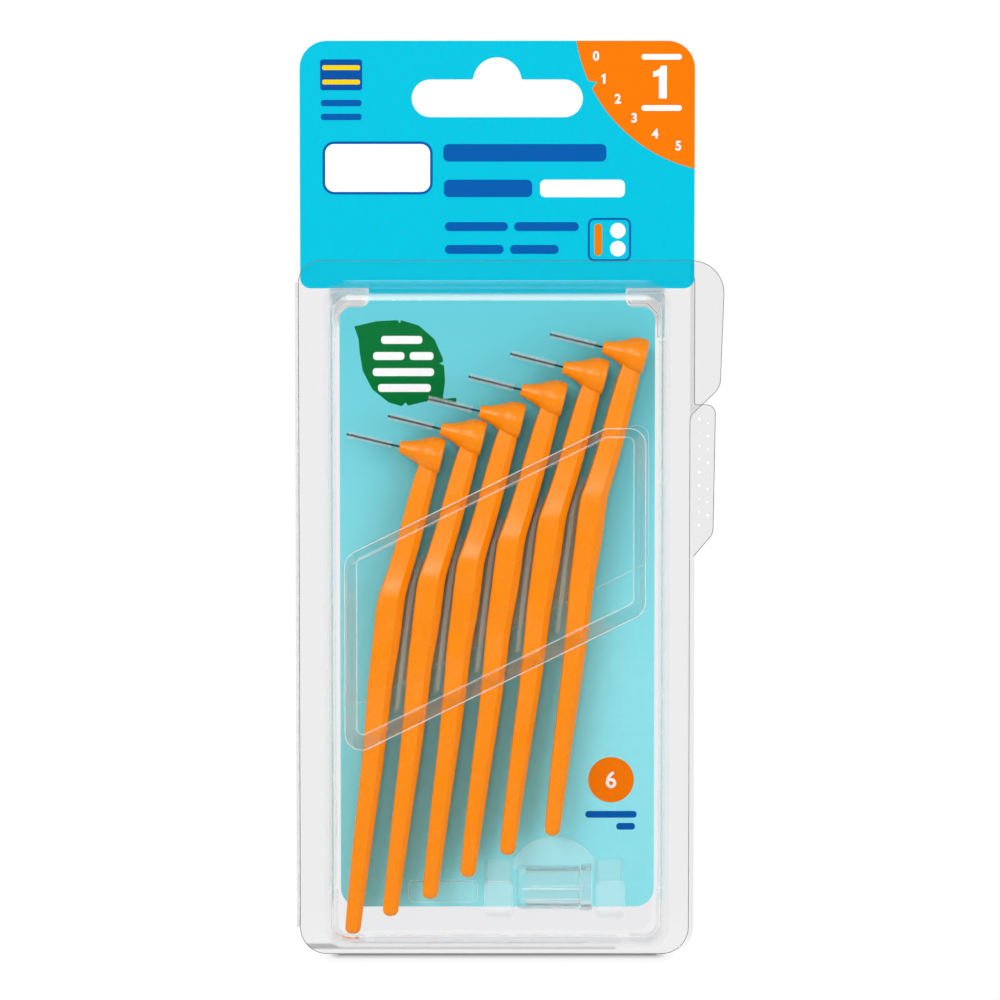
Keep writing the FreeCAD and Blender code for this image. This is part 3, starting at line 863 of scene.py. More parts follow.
@dataclass
class Studio:
    """Pale floor, white surround and soft lamps. Lengths are in metres.

    painted_contact_shadow and mirrored are curves of places from 0 to 1 and levels: how the floor's painted
    shadow fades over shadow_reach, and how bright the surround is for what shines, from the front to the
    back.
    """

    lamps: tuple[Lamp, ...] = (
        Lamp("key", (-0.55, -0.75, 0.42), (0.55, 0.55), 3.6),
        Lamp("fill", (0.75, -0.7, 0.05), (0.6, 0.6), 3.1),
        Lamp("strip", (-0.08, -1.05, 0.17), (0.16, 0.06), 1.1),
    )
    target: tuple[float, float, float] = (0.0, 0.0, -0.08)
    surround: float = 0.57
    floor_reach: float = 4.0
    floor_white: float = 0.93
    half_width: float = 30 * MM
    contact_line: float = -1.2 * MM
    shadow_reach: float = 9 * MM
    side_fall: float = 2.0
    back_fall: float = 3.0
    least_bent: float = 0.38
    floor_mirrored: float = 0.04
    dim_from: Point = (-20 * MM, -60 * MM)
    painted_contact_shadow: tuple[Point, ...] = ((0.0, 0.15), (0.2, 0.6), (0.55, 0.93), (1.0, 1.0))
    mirrored: tuple[Point, ...] = (
        (0.0, 0.03),
        (0.30, 0.05),
        (0.40, 0.30),
        (0.47, 0.95),
        (0.55, 0.75),
        (0.64, 0.30),
        (0.76, 0.40),
        (0.90, 1.0),
        (1.0, 1.0),
    )

    def build(self, ground: float) -> None:
        """Builds the floor, the surround and the lamps.

        Args:
            ground: the floor's height.
        """
        self.build_floor(ground)
        self.build_surround()
        for lamp in self.lamps:
            lamp.build(Vector(self.target))

    def build_floor(self, ground: float) -> None:
        """A wide floor with a painted shadow near the object, and white further away.

        Args:
            ground: its height.
        """
        work = bmesh.new()
        bmesh.ops.create_grid(work, x_segments=1, y_segments=1, size=self.floor_reach)
        bmesh.ops.translate(work, verts=work.verts, vec=(0, 0, ground))
        floor = as_object("floor", work)
        material, n = new_material("pale_floor")
        parts = n.place()
        beside = n.math("MAXIMUM", n.math("SUBTRACT", n.math("ABSOLUTE", parts["X"]), self.half_width), 0.0)
        beside = n.math("MULTIPLY", beside, self.side_fall)
        ahead = n.math("SUBTRACT", self.contact_line, parts["Y"])
        ahead = n.math("MAXIMUM", ahead, n.math("MULTIPLY", ahead, -self.back_fall))
        reach = n.math("SQRT", n.math("ADD", n.math("POWER", beside, 2.0), n.math("POWER", ahead, 2.0)))
        # The floor's glow for the eye is dimmed near the object: a painted contact shadow.
        near = n.steps(n.ramp(reach, 0.0, self.shadow_reach, 0.0, 1.0), self.painted_contact_shadow)
        path = n.add("ShaderNodeLightPath").outputs
        seen = n.math("MAXIMUM", path["Is Camera Ray"], path["Is Glossy Ray"])
        seen = n.math("MAXIMUM", seen, path["Is Transmission Ray"])
        mirrored = n.math("MINIMUM", path["Glossy Depth"], 1.0)
        mirrored = n.math("MULTIPLY", mirrored, n.ramp(parts["Y"], *self.dim_from, 0.0, 1.0))
        white = self.floor_white
        pale = n.add("ShaderNodeBsdfDiffuse", {"Color": (white, white, white, 1.0)})
        glow = n.add("ShaderNodeEmission", {"Color": (1.0, 1.0, 1.0, 1.0), "Strength": near})
        dim = n.add("ShaderNodeEmission", {"Strength": self.floor_mirrored})
        close_material(n, n.mixed(mirrored, n.mixed(seen, pale, glow), dim))
        floor.data.materials.append(material)

    def build_surround(self) -> None:
        """White to the eye, dimmer as a light, and with dark flags for what shines or bends light."""
        world = bpy.data.worlds.new("surround")
        bpy.context.scene.world = world
        world.use_nodes = True
        n = Nodes(world.node_tree)
        way = n.add("ShaderNodeTexCoord").outputs["Generated"]
        depth = n.add("ShaderNodeSeparateXYZ", {0: way}).outputs["Y"]
        mirrored = n.steps(n.ramp(depth, -1.0, 1.0, 0.0, 1.0), self.mirrored)
        path = n.add("ShaderNodeLightPath").outputs
        bent = n.math("MAXIMUM", path["Is Glossy Ray"], path["Is Transmission Ray"])
        least = n.math("MULTIPLY", path["Is Transmission Ray"], self.least_bent)
        strength = n.math("MULTIPLY", bent, n.math("MAXIMUM", mirrored, least))
        others = n.math("SUBTRACT", 1.0, bent)
        strength = n.math("ADD", strength, n.math("MULTIPLY", others, self.surround))
        camera = path["Is Camera Ray"]
        strength = n.math("ADD", n.math("MULTIPLY", n.math("SUBTRACT", 1.0, camera), strength), camera)
        light = n.add("ShaderNodeBackground", {"Color": (1.0, 1.0, 1.0, 1.0), "Strength": strength})
        n.add("ShaderNodeOutputWorld", {"Surface": light.outputs[0]})


class GrownPiece:
    """A piece grown by a tree of geometry nodes, and kept as a plain mesh."""

    def __init__(self, name: str, source: Optional[bpy.types.Mesh] = None) -> None:
        """Starts an empty tree with named inputs.

        Args:
            name: the piece's name.
            source: the mesh that it grows from, if there is one.
        """
        self.name = name
        self.source = source or bpy.data.meshes.new(name)
        self.tree = bpy.data.node_groups.new(name, "GeometryNodeTree")
        self.values: dict[str, Any] = {}
        self.n = Nodes(self.tree)
        for way in ("INPUT", "OUTPUT"):
            self.tree.interface.new_socket("Geometry", in_out=way, socket_type="NodeSocketGeometry")
        self.group = self.tree.nodes.new("NodeGroupInput")

    def input(self, label: str, kind: str, value: Any) -> bpy.types.NodeSocket:
        """Adds a named input.

        Args:
            label: its name.
            kind: Float, Int or Material.
            value: what the finished modifier gives it.

        Returns:
            The socket to join.
        """
        made = self.tree.interface.new_socket(label, in_out="INPUT", socket_type="NodeSocket" + kind)
        self.values[made.identifier] = value
        return next(s for s in self.group.outputs if s.identifier == made.identifier)

    def random(self, low: float, high: float, seed: Any) -> bpy.types.NodeSocket:
        """A fixed random number for each instance."""
        inputs = {"Min": low, "Max": high, "Seed": seed}
        return Nodes.out(self.n.add("FunctionNodeRandomValue", inputs, data_type="FLOAT"))

    def vector(self, x: Any, y: Any, z: Any) -> bpy.types.NodeSocket:
        """Three numbers as one vector."""
        return Nodes.out(self.n.add("ShaderNodeCombineXYZ", {"X": x, "Y": y, "Z": z}))

    def tube(self, curve: bpy.types.Node, radius: bpy.types.NodeSocket, sides: int) -> bpy.types.Node:
        """A closed round tube along a curve.

        Args:
            curve: the node that makes the curve.
            radius: the tube's radius.
            sides: how many flat sides it has.

        Returns:
            The node that makes the tube.
        """
        profile = self.n.add("GeometryNodeCurvePrimitiveCircle", {"Resolution": sides, "Radius": radius})
        inputs = {"Curve": Nodes.out(curve), "Profile Curve": Nodes.out(profile), "Fill Caps": True}
        return self.n.add("GeometryNodeCurveToMesh", inputs)

    def together(self, parts: Sequence[bpy.types.Node]) -> bpy.types.Node:
        """Joins several shapes.

        Args:
            parts: the nodes that make them.

        Returns:
            The node that makes the whole.
        """
        both = self.n.add("GeometryNodeJoinGeometry")
        for part in parts:
            self.tree.links.new(Nodes.out(part), both.inputs[0])
        return both

    def finish(
        self, shape: bpy.types.Node, material: bpy.types.NodeSocket, smooth: bool = True
    ) -> bpy.types.Object:
        """Runs the tree once and keeps the result as a plain mesh.

        Args:
            shape: the node that makes the whole shape.
            material: the input that holds its material.
            smooth: whether its faces are shaded as one round surface.

        Returns:
            A new object at the origin, with no modifier.
        """
        if smooth:
            shape = self.n.add("GeometryNodeSetShadeSmooth", {"Geometry": Nodes.out(shape)})
        real = self.n.add("GeometryNodeRealizeInstances", {"Geometry": Nodes.out(shape)})
        painted = self.n.add("GeometryNodeSetMaterial", {"Geometry": Nodes.out(real), "Material": material})
        self.n.add("NodeGroupOutput", {"Geometry": Nodes.out(painted)})
        carrier = bpy.data.objects.new(self.name, self.source)
        bpy.context.scene.collection.objects.link(carrier)
        modifier = carrier.modifiers.new("grow", "NODES")
        modifier.node_group = self.tree
        for identifier, value in self.values.items():
            modifier[identifier] = value
        ready = carrier.evaluated_get(bpy.context.evaluated_depsgraph_get())
        mesh = bpy.data.meshes.new_from_object(ready)
        bpy.data.objects.remove(carrier)
        mesh.name = self.name
        made = bpy.data.objects.new(self.name, mesh)
        bpy.context.scene.collection.objects.link(made)
        return made


@dataclass
class BrushWork:
    """The fine work of one brush: its twisted wire and its filaments. Lengths are in metres."""

    number: int
    strand_radius: float = 0.12 * MM
    twist_pitch: float = 0.78 * MM
    turn_steps: int = 10
    strand_sides: int = 7
    filaments: int = 520
    filament_sides: int = 4
    reach: float = 0.77 * MM
    thickness: float = 0.034 * MM
    tip_share: float = 0.6
    covered: float = 8.4 * MM
    bare_tip: float = 0.25 * MM
    stray_turn: float = 0.2
    stray_lean: float = 0.10
    least_length_share: float = 0.86
    seed_step: int = 10

    def rod(self) -> tuple[Vector, Vector]:
        """The wire's middle line.

        Returns:
            Its two ends, the one in the head first.
        """
        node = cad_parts[f"wire_core_{self.number}"]
        spots = np.array([v.co for v in node.data.vertices], float)
        middle = spots.mean(0)
        along = np.linalg.svd(spots - middle)[2][0]
        along = along if along[0] < 0 else -along
        reach = (spots - middle) @ along
        return Vector(middle + along * reach.min()), Vector(middle + along * reach.max())

    def build(self, steel: bpy.types.Material, nylon: bpy.types.Material) -> None:
        """Builds both pieces in place of the plain ones.

        Args:
            steel: what the wire is made of.
            nylon: what the filaments are made of.
        """
        root, tip = self.rod()
        length = (tip - root).length
        turn = (tip - root).to_track_quat("Z", "Y").to_matrix().to_4x4()
        place = Matrix.Translation(root) @ turn
        wire = self.build_wire(length, steel)
        bristles = self.build_bristles(length, nylon)
        body = f"brush_{self.number}"
        for piece, slot, node in ((wire, "steel_wire", "wire_core"), (bristles, "bristle", "bristles")):
            piece.data.transform(place)
            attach(piece, body)
            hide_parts(f"{node}_{self.number}")
            log.info("%s: %d faces", piece.name, len(piece.data.polygons))

    def build_wire(self, length: float, steel: bpy.types.Material) -> bpy.types.Object:
        """Two strands wound round each other, along Z from the origin.

        Args:
            length: how long the wire is.
            steel: what it is made of.

        Returns:
            The new object.
        """
        grown = GrownPiece(f"twisted_wire_{self.number}")
        long = grown.input("Length", "Float", length)
        strand = grown.input("Strand radius", "Float", self.strand_radius)
        turns = grown.input("Turns", "Float", length / self.twist_pitch)
        material = grown.input("Material", "Material", steel)
        spiral = grown.n.add(
            "GeometryNodeCurveSpiral",
            {
                "Resolution": self.turn_steps,
                "Rotations": turns,
                "Start Radius": strand,
                "End Radius": strand,
                "Height": long,
            },
        )
        first = grown.tube(spiral, strand, self.strand_sides)
        half_turn = {"Geometry": Nodes.out(first), "Rotation": (0, 0, math.pi)}
        second = grown.n.add("GeometryNodeTransform", half_turn)
        return grown.finish(grown.together((first, second)), material)

    def build_bristles(self, length: float, nylon: bpy.types.Material) -> bpy.types.Object:
        """Filaments that stand out of the wire in two spiral fans, near its far end on Z.

        Args:
            length: how long the wire is.
            nylon: what they are made of.

        Returns:
            The new object.
        """
        grown = GrownPiece(f"filaments_{self.number}")
        n = grown.n
        count = grown.input("Count", "Int", self.filaments)
        first = grown.input("First height", "Float", length - self.bare_tip - self.covered)
        covered = grown.input("Covered length", "Float", self.covered)
        pitch = grown.input("Twist pitch", "Float", self.twist_pitch)
        reach = grown.input("Reach", "Float", self.reach)
        thick = grown.input("Thickness", "Float", self.thickness)
        seed = grown.input("Seed", "Int", self.seed_step * self.number)
        material = grown.input("Material", "Material", nylon)
        index = Nodes.out(n.add("GeometryNodeInputIndex"))
        share = n.math("DIVIDE", n.math("ADD", index, 0.5), count)
        height = n.math("ADD", first, n.math("MULTIPLY", share, covered))
        half_turn = n.math("MULTIPLY", n.math("MODULO", index, 2.0), math.pi)
        turn = n.math("ADD", n.math("MULTIPLY", n.math("DIVIDE", height, pitch), math.tau), half_turn)
        angle = n.math("ADD", turn, grown.random(-self.stray_turn, self.stray_turn, seed))
        lean = grown.random(-self.stray_lean, self.stray_lean, n.math("ADD", seed, 1.0))
        way = grown.vector(n.math("COSINE", angle), n.math("SINE", angle), lean)
        spots = n.add("GeometryNodePoints", {"Count": count, "Position": grown.vector(0.0, 0.0, height)})
        aim = n.add("FunctionNodeAlignRotationToVector", {"Vector": way}, axis="Z")
        filament = n.add(
            "GeometryNodeMeshCone",
            {
                "Vertices": self.filament_sides,
                "Radius Top": n.math("MULTIPLY", thick, self.tip_share),
                "Radius Bottom": thick,
                "Depth": reach,
            },
        )
        grown_share = grown.random(self.least_length_share, 1.0, n.math("ADD", seed, 2.0))
        fan = n.add(
            "GeometryNodeInstanceOnPoints",
            {
                "Points": Nodes.out(spots),
                "Instance": Nodes.out(filament),
                "Rotation": Nodes.out(aim),
                "Scale": grown.vector(1.0, 1.0, grown_share),
            },
        )
        return grown.finish(fan, material, smooth=False)


@dataclass
class CardPrint:
    """All print on the card: inks, disc, dial, leaf, badge and plain bars.

    Lengths are in millimetres, x to the right and z up from the middle of the hang slot. A bar is
    its left, right, foot, top and corner radius. dial_steps count the steps of the dial's outline
    above its notch, below it and round the card's corner.
    """

    layer: float = 0.015
    body_top: float = -36.7
    header_corner: float = 5.2
    dial_centre: Point = (44.05, 15.49)
    dial_radius: float = 29.5
    dial_steps: tuple[int, int, int] = (10, 24, 10)
    notch: tuple[Point, Point, Point] = ((17.23, 3.25), (18.85, 3.06), (18.0, 1.89))
    digits: tuple[Point, ...] = (
        (18.61, 7.94),
        (20.04, 3.68),
        (22.74, -0.08),
        (25.84, -3.67),
        (29.78, -6.63),
        (34.18, -8.91),
    )
    digit_height: float = 1.86
    digit_weight: float = 0.035
    font_steps: int = 6
    font_weld: float = 1e-5
    big_digit: Point = (30.8, 3.05)
    big_digit_height: float = 6.15
    dial_bars: tuple[Bar, ...] = ((27.2, 34.8, 7.25, 8.3, 0.5), (27.2, 34.8, -2.35, -1.3, 0.5))
    disc_centre: Point = (21.7, -129.4)
    disc_radius: float = 4.36
    disc_points: int = 60
    disc_digit_height: float = 3.3
    disc_digit_weight: float = 0.02
    badge_border: Bar = (-33.0, -12.2, -18.1, -8.1, 2.2)
    badge_plate: Bar = (-32.5, -12.7, -17.6, -8.6, 1.7)
    patch: Bar = (-33.4, -25.5, 1.5, 7.3, 0.5)
    stripes: tuple[Bar, ...] = ((-33.0, -25.9, 2.6, 3.5, 0.3), (-33.0, -25.9, 5.3, 6.2, 0.3))
    blue_bars: tuple[Bar, ...] = (
        (-10.2, 20.6, -11.9, -8.6, 1.0),
        (-10.1, 6.6, -18.6, -15.3, 1.0),
        (-9.9, 2.0, -25.0, -23.3, 0.8),
        (3.2, 15.4, -25.0, -23.3, 0.8),
        (-9.9, 1.2, -29.3, -27.6, 0.8),
        (2.4, 11.6, -29.3, -27.6, 0.8),
        (-33.3, -25.6, -1.5, -0.3, 0.5),
        (-33.3, -25.6, -4.1, -2.9, 0.5),
    )
    lower_bars: tuple[Bar, ...] = ((16.8, 26.6, -136.7, -135.4, 0.6), (22.7, 26.3, -139.0, -137.7, 0.6))
    white_bar: Bar = (8.1, 24.1, -18.6, -15.3, 1.0)
    square_border: Bar = (17.1, 25.3, -30.7, -22.5, 1.3)
    square_field: Bar = (17.5, 24.9, -30.3, -22.9, 0.9)
    square_stroke: Bar = (18.4, 19.8, -29.6, -23.6, 0.6)
    square_rounds: tuple[Point, ...] = ((22.8, -24.9), (22.8, -28.3))
    square_round_radius: float = 1.45
    square_round_points: int = 36
    leaf_rims: tuple[tuple[Point, ...], ...] = (
        ((-27.1, -43.0), (-22.8, -42.0), (-18.9, -41.8)),
        ((-18.5, -42.4), (-18.2, -41.8), (-14.9, -42.8), (-11.9, -45.4), (-10.4, -48.9), (-10.2, -49.6)),
        ((-11.0, -50.0), (-10.1, -50.4), (-9.9, -53.4), (-10.3, -56.4)),
        ((-10.0, -56.7), (-7.8, -56.5), (-7.7, -57.5), (-10.4, -57.4)),
        ((-13.5, -57.2), (-16.9, -58.0), (-17.4, -57.4), (-18.1, -58.1)),
        ((-20.6, -57.4), (-23.7, -54.9), (-25.5, -51.4), (-26.1, -47.7), (-26.3, -45.3)),
    )
    leaf_rows: tuple[tuple[float, float, float], ...] = (
        (-22.0, -14.2, -45.55),
        (-23.5, -17.6, -48.60),
        (-16.6, -12.1, -48.60),
        (-23.6, -12.0, -51.65),
        (-22.6, -12.6, -54.65),
    )
    leaf_row_height: float = 1.5
    leaf_row_corner: float = 0.6
    back_plate: Bar = (-24.0, 24.0, -140.0, -52.0, 2.0)
    back_rows: int = 14
    back_row_right: float = 20.0
    back_row_top: float = -58.0
    back_row_pitch: float = 5.6
    back_row_height: float = 1.6
    back_row_corner: float = 0.7
    back_row_lengths: tuple[float, ...] = (40.0, 40.0, 40.0, 22.0)
    one_shares: tuple[Point, ...] = (
        (0.40, 0.0),
        (0.64, 0.0),
        (0.64, 1.0),
        (0.47, 1.0),
        (0.42, 0.91),
        (0.33, 0.85),
        (0.22, 0.82),
        (0.22, 0.65),
        (0.40, 0.69),
    )
    one_middle_shares: Point = (0.45, 0.5)

    def build(self, inks: dict[Shade, bpy.types.Material]) -> None:
        """Builds every printed piece, each a thin slab on the card or on another slab.

        Args:
            inks: the material of each shade.
        """
        self.inks = inks
        self.low, self.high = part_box("insert_card")
        self.face = self.low.y
        self.back = self.high.y
        self.ink_sheet("front_ink", self.face, -1, inks[Shade.TURQUOISE])
        self.ink_sheet("back_ink", self.back, 1, inks[Shade.TURQUOISE])
        faded = PrintedInk("faded_ink", Shade.PALE_TURQUOISE, Shade.PALEST_TURQUOISE).build()
        self.ink_sheet("body_ink", self.face, -1, faded, self.body_top * MM)
        self.dial()
        self.bars()
        self.leaf()
        self.disc()
        self.back_panel()

    def ink_sheet(
        self, name: str, y: float, side: int, ink: bpy.types.Material, top: Optional[float] = None
    ) -> None:
        """Ink over one face of the card, as a slab of the face's own outline.

        Args:
            name: the piece's name.
            y: where the face lies.
            side: 1 for the back of the card, -1 for the front.
            ink: its material.
            top: height above which there is none. Such a sheet lies on the one below it.
        """
        work = bmesh.new()
        work.from_mesh(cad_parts["insert_card"].data)
        bmesh.ops.remove_doubles(work, verts=work.verts, dist=WELD)
        far = [f for f in work.faces if any(abs(v.co.y - y) > FACE_SLACK for v in f.verts)]
        bmesh.ops.delete(work, geom=far, context="FACES")
        step = side * self.layer * MM
        if top is not None:
            every = work.verts[:] + work.edges[:] + work.faces[:]
            bmesh.ops.bisect_plane(
                work, geom=every, plane_co=(0, 0, top), plane_no=(0, 0, 1), clear_outer=True
            )
            bmesh.ops.translate(work, verts=work.verts, vec=(0, step, 0))
        thicken(work, step)
        dress(as_object(name, work), ink, "pack")

    def front(self, level: int) -> float:
        """y of a slab's front on that level of print."""
        return self.face - (level + 1) * self.layer * MM

    def slab(self, name: str, outline: Sequence[Point], level: int) -> bpy.types.Object:
        """One printed slab, not yet dressed."""
        return flat_slab(name, [(x * MM, z * MM) for x, z in outline], self.front(level), self.layer * MM)

    def ink(self, name: str, outlines: Sequence[Sequence[Point]], level: int, shade: Shade) -> None:
        """One printed piece of one or more slabs in one colour."""
        slabs = [self.slab(f"{name}_{i}", outline, level) for i, outline in enumerate(outlines)]
        dress(joined(name, slabs), self.inks[shade], "pack")

    def numeral(
        self, text: str, middle: Point, height: float, level: int, weight: float
    ) -> bpy.types.Object:
        """One plain numeral as a flat slab.

        Args:
            text: the numeral.
            middle: its centre.
            height: its height.
            level: its level of print.
            weight: how much its strokes are thickened, as a share of its height.

        Returns:
            The undressed slab.
        """
        if text == "1":
            across, up = self.one_middle_shares
            shares = [(x - across, z - up) for x, z in self.one_shares]
            outline = [(middle[0] + x * height, middle[1] + z * height) for x, z in shares]
            return self.slab("numeral", outline, level)
        curve = bpy.data.curves.new("numeral", "FONT")
        curve.body = text
        curve.offset = weight
        curve.resolution_u = self.font_steps
        writer = bpy.data.objects.new("numeral", curve)
        bpy.context.scene.collection.objects.link(writer)
        mesh = bpy.data.meshes.new_from_object(writer.evaluated_get(bpy.context.evaluated_depsgraph_get()))
        bpy.data.objects.remove(writer)
        work = bmesh.new()
        work.from_mesh(mesh)
        bmesh.ops.remove_doubles(work, verts=work.verts, dist=self.font_weld)
        across = [v.co.x for v in work.verts]
        up = [v.co.y for v in work.verts]
        scale = height * MM / (max(up) - min(up))
        centre = Vector(((max(across) + min(across)) / 2, (max(up) + min(up)) / 2, 0))
        for vertex in work.verts:
            flat = (vertex.co - centre) * scale
            vertex.co = (flat.x + middle[0] * MM, self.front(level), flat.y + middle[1] * MM)
        thicken(work, self.layer * MM)
        return as_object("numeral", work)

    def bearing(self, spot: Point) -> float:
        """The direction of a spot from the dial's centre, in degrees."""
        return math.degrees(math.atan2(spot[1] - self.dial_centre[1], spot[0] - self.dial_centre[0])) % 360

    def dial(self) -> None:
        """Quarter disc in the header's corner, with a pointer notch and plain numerals."""
        edge_x = self.high.x / MM
        edge_z = self.high.z / MM
        centre, radius, corner = self.dial_centre, self.dial_radius, self.header_corner
        above, below, round_corner = self.dial_steps
        top_angle = 180 - math.degrees(math.asin((edge_z - centre[1]) / radius))
        foot_angle = 360 - math.degrees(math.acos((edge_x - centre[0]) / radius))
        outline = arc_points(centre, radius, top_angle, self.bearing(self.notch[0]), above)
        outline += [self.notch[1]]
        outline += arc_points(centre, radius, self.bearing(self.notch[2]), foot_angle, below)
        outline += arc_points((edge_x - corner, edge_z - corner), corner, 0, 90, round_corner)
        self.ink("dial", [outline], 1, Shade.DIAL_ORANGE)
        rows = [(str(i), spot, self.digit_height) for i, spot in enumerate(self.digits)]
        rows.append(("1", self.big_digit, self.big_digit_height))
        pieces = [self.numeral(text, spot, height, 2, self.digit_weight) for text, spot, height in rows]
        pieces += [self.slab("bar", outline, 2) for outline in bar_outlines(*self.dial_bars)]
        dress(joined("dial_numerals", pieces), self.inks[Shade.WHITE], "pack")

    def bars(self) -> None:
        """The badge, the striped patch, the square and the plain bars."""
        radius, points = self.square_round_radius, self.square_round_points
        rounds = [round_points(spot, radius, points) for spot in self.square_rounds]
        rows = (
            ("badge_border", bar_outlines(self.badge_border), 1, Shade.DEEP_BLUE),
            ("badge_plate", bar_outlines(self.badge_plate), 2, Shade.WHITE),
            ("patch", bar_outlines(self.patch), 1, Shade.BAND_BLUE),
            ("patch_stripes", bar_outlines(*self.stripes), 2, Shade.BAND_YELLOW),
            ("blue_bars", bar_outlines(*self.blue_bars), 1, Shade.DEEP_BLUE),
            ("lower_bars", bar_outlines(*self.lower_bars), 2, Shade.DEEP_BLUE),
            ("white_bar", bar_outlines(self.white_bar), 1, Shade.WHITE),
            ("square_border", bar_outlines(self.square_border), 1, Shade.DEEP_BLUE),
            ("square_field", bar_outlines(self.square_field), 2, Shade.TURQUOISE),
            ("square_rounds", rounds, 3, Shade.WHITE),
            ("square_stroke", bar_outlines(self.square_stroke), 3, Shade.DIAL_ORANGE),
        )
        for name, outlines, level, shade in rows:
            self.ink(name, outlines, level, shade)

    def leaf(self) -> None:
        """Plain leaf with nicks in its rim and a short stem, and plain bars on it."""
        rim = [spot for part in self.leaf_rims for spot in part]
        self.ink("leaf_blade", [rim], 2, Shade.LEAF_GREEN)
        half = self.leaf_row_height / 2
        corner = self.leaf_row_corner
        rows = [(left, right, z - half, z + half, corner) for left, right, z in self.leaf_rows]
        self.ink("leaf_bars", bar_outlines(*rows), 3, Shade.WHITE)

    def disc(self) -> None:
        """Orange disc with the count of brushes."""
        round_edge = round_points(self.disc_centre, self.disc_radius, self.disc_points)
        self.ink("count_disc", [round_edge], 2, Shade.DIAL_ORANGE)
        digit = self.numeral("6", self.disc_centre, self.disc_digit_height, 3, self.disc_digit_weight)
        dress(digit, self.inks[Shade.WHITE], "pack")
        digit.name = "count_numeral"

    def back_panel(self) -> None:
        """Plain white panel with grey bars on the back of the card."""
        layer = self.layer * MM
        front = self.back + 2 * layer
        panel = [(x * MM, z * MM) for x, z in rounded_bar(*self.back_plate)]
        piece = flat_slab("back_panel", panel, front, -layer)
        dress(piece, self.inks[Shade.WHITE], "pack")
        rows = []
        for row in range(self.back_rows):
            long = self.back_row_lengths[row % len(self.back_row_lengths)]
            right = self.back_row_right
            top = self.back_row_top - row * self.back_row_pitch
            bar = rounded_bar(right - long, right, top - self.back_row_height, top, self.back_row_corner)
            rows.append(flat_slab(f"row_{row}", [(x * MM, z * MM) for x, z in bar], front + layer, -layer))
        dress(joined("back_bars", rows), self.inks[Shade.BACK_BAR], "pack")


@dataclass
class EdgeLines:
    """Painted lines, bright ones for highlights and dark ones for shade, along the sharp outer edges of a
    clear piece, just inside its corners.
    """

    name: str
    node: str
    body: str
    slot: str
    keep: EdgeTest
    radius: float
    inset_share: float = 1.5
    least_angle_deg: float = 25.0
    sides: int = 6

    def build(self, material: bpy.types.Material) -> None:
        """Builds the lines as one plain mesh.

        Args:
            material: what they are made of.
        """
        work = bmesh.new()
        work.from_mesh(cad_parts[self.node].data)
        bmesh.ops.remove_doubles(work, verts=work.verts, dist=WELD)
        chosen = [e for e in work.edges if self.sharp(e)]
        pulls: dict[bmesh.types.BMVert, Vector] = {}
        for edge in chosen:
            inward = -(edge.link_faces[0].normal + edge.link_faces[1].normal).normalized()
            for vertex in edge.verts:
                pulls[vertex] = pulls.get(vertex, Vector()) + inward
        lines = bmesh.new()
        insets = {v: p.normalized() * self.radius * self.inset_share for v, p in pulls.items()}
        moved = {v: lines.verts.new(v.co + inset) for v, inset in insets.items()}
        for edge in chosen:
            lines.edges.new([moved[v] for v in edge.verts])
        mesh = bpy.data.meshes.new(self.name)
        lines.to_mesh(mesh)
        lines.free()
        work.free()
        grown = GrownPiece(self.name, mesh)
        radius = grown.input("Line radius", "Float", self.radius)
        paint = grown.input("Material", "Material", material)
        curve = grown.n.add("GeometryNodeMeshToCurve", {"Mesh": grown.group.outputs[0]})
        piece = grown.finish(grown.tube(curve, radius, self.sides), paint)
        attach(piece, self.body)
        log.info("%s: %d edges, %d faces", self.name, len(chosen), len(piece.data.polygons))

    def sharp(self, edge: bmesh.types.BMEdge) -> bool:
        """Whether the edge stands out, is sharp and is one of those that are kept.

        Args:
            edge: the edge to judge.

        Returns:
            True for an edge that gets a line.
        """
        if len(edge.link_faces) != 2 or edge.calc_face_angle(0.0) < math.radians(self.least_angle_deg):
            return False
        return edge.is_convex and self.keep(edge.verts[0].co, edge.verts[1].co)


def lies_at(y: float, slack: float = 0.05 * MM) -> EdgeTest:
    """A test for the edges that lie at one depth.

    Args:
        y: that depth.
        slack: how far an end may be off it.

    Returns:
        The test, which takes an edge's two ends.
    """

    def test(a: Vector, b: Vector) -> bool:
        """Whether both ends lie at that depth."""
        return abs(a.y - y) < slack and abs(b.y - y) < slack

    return test


def lies_ahead(y: float) -> EdgeTest:
    """A test for the edges that lie nearer to the viewer.

    Args:
        y: the depth that they lie in front of.

    Returns:
        The test, which takes an edge's two ends.
    """

    def test(a: Vector, b: Vector) -> bool:
        """Whether both ends lie in front of that depth."""
        return a.y < y and b.y < y

    return test


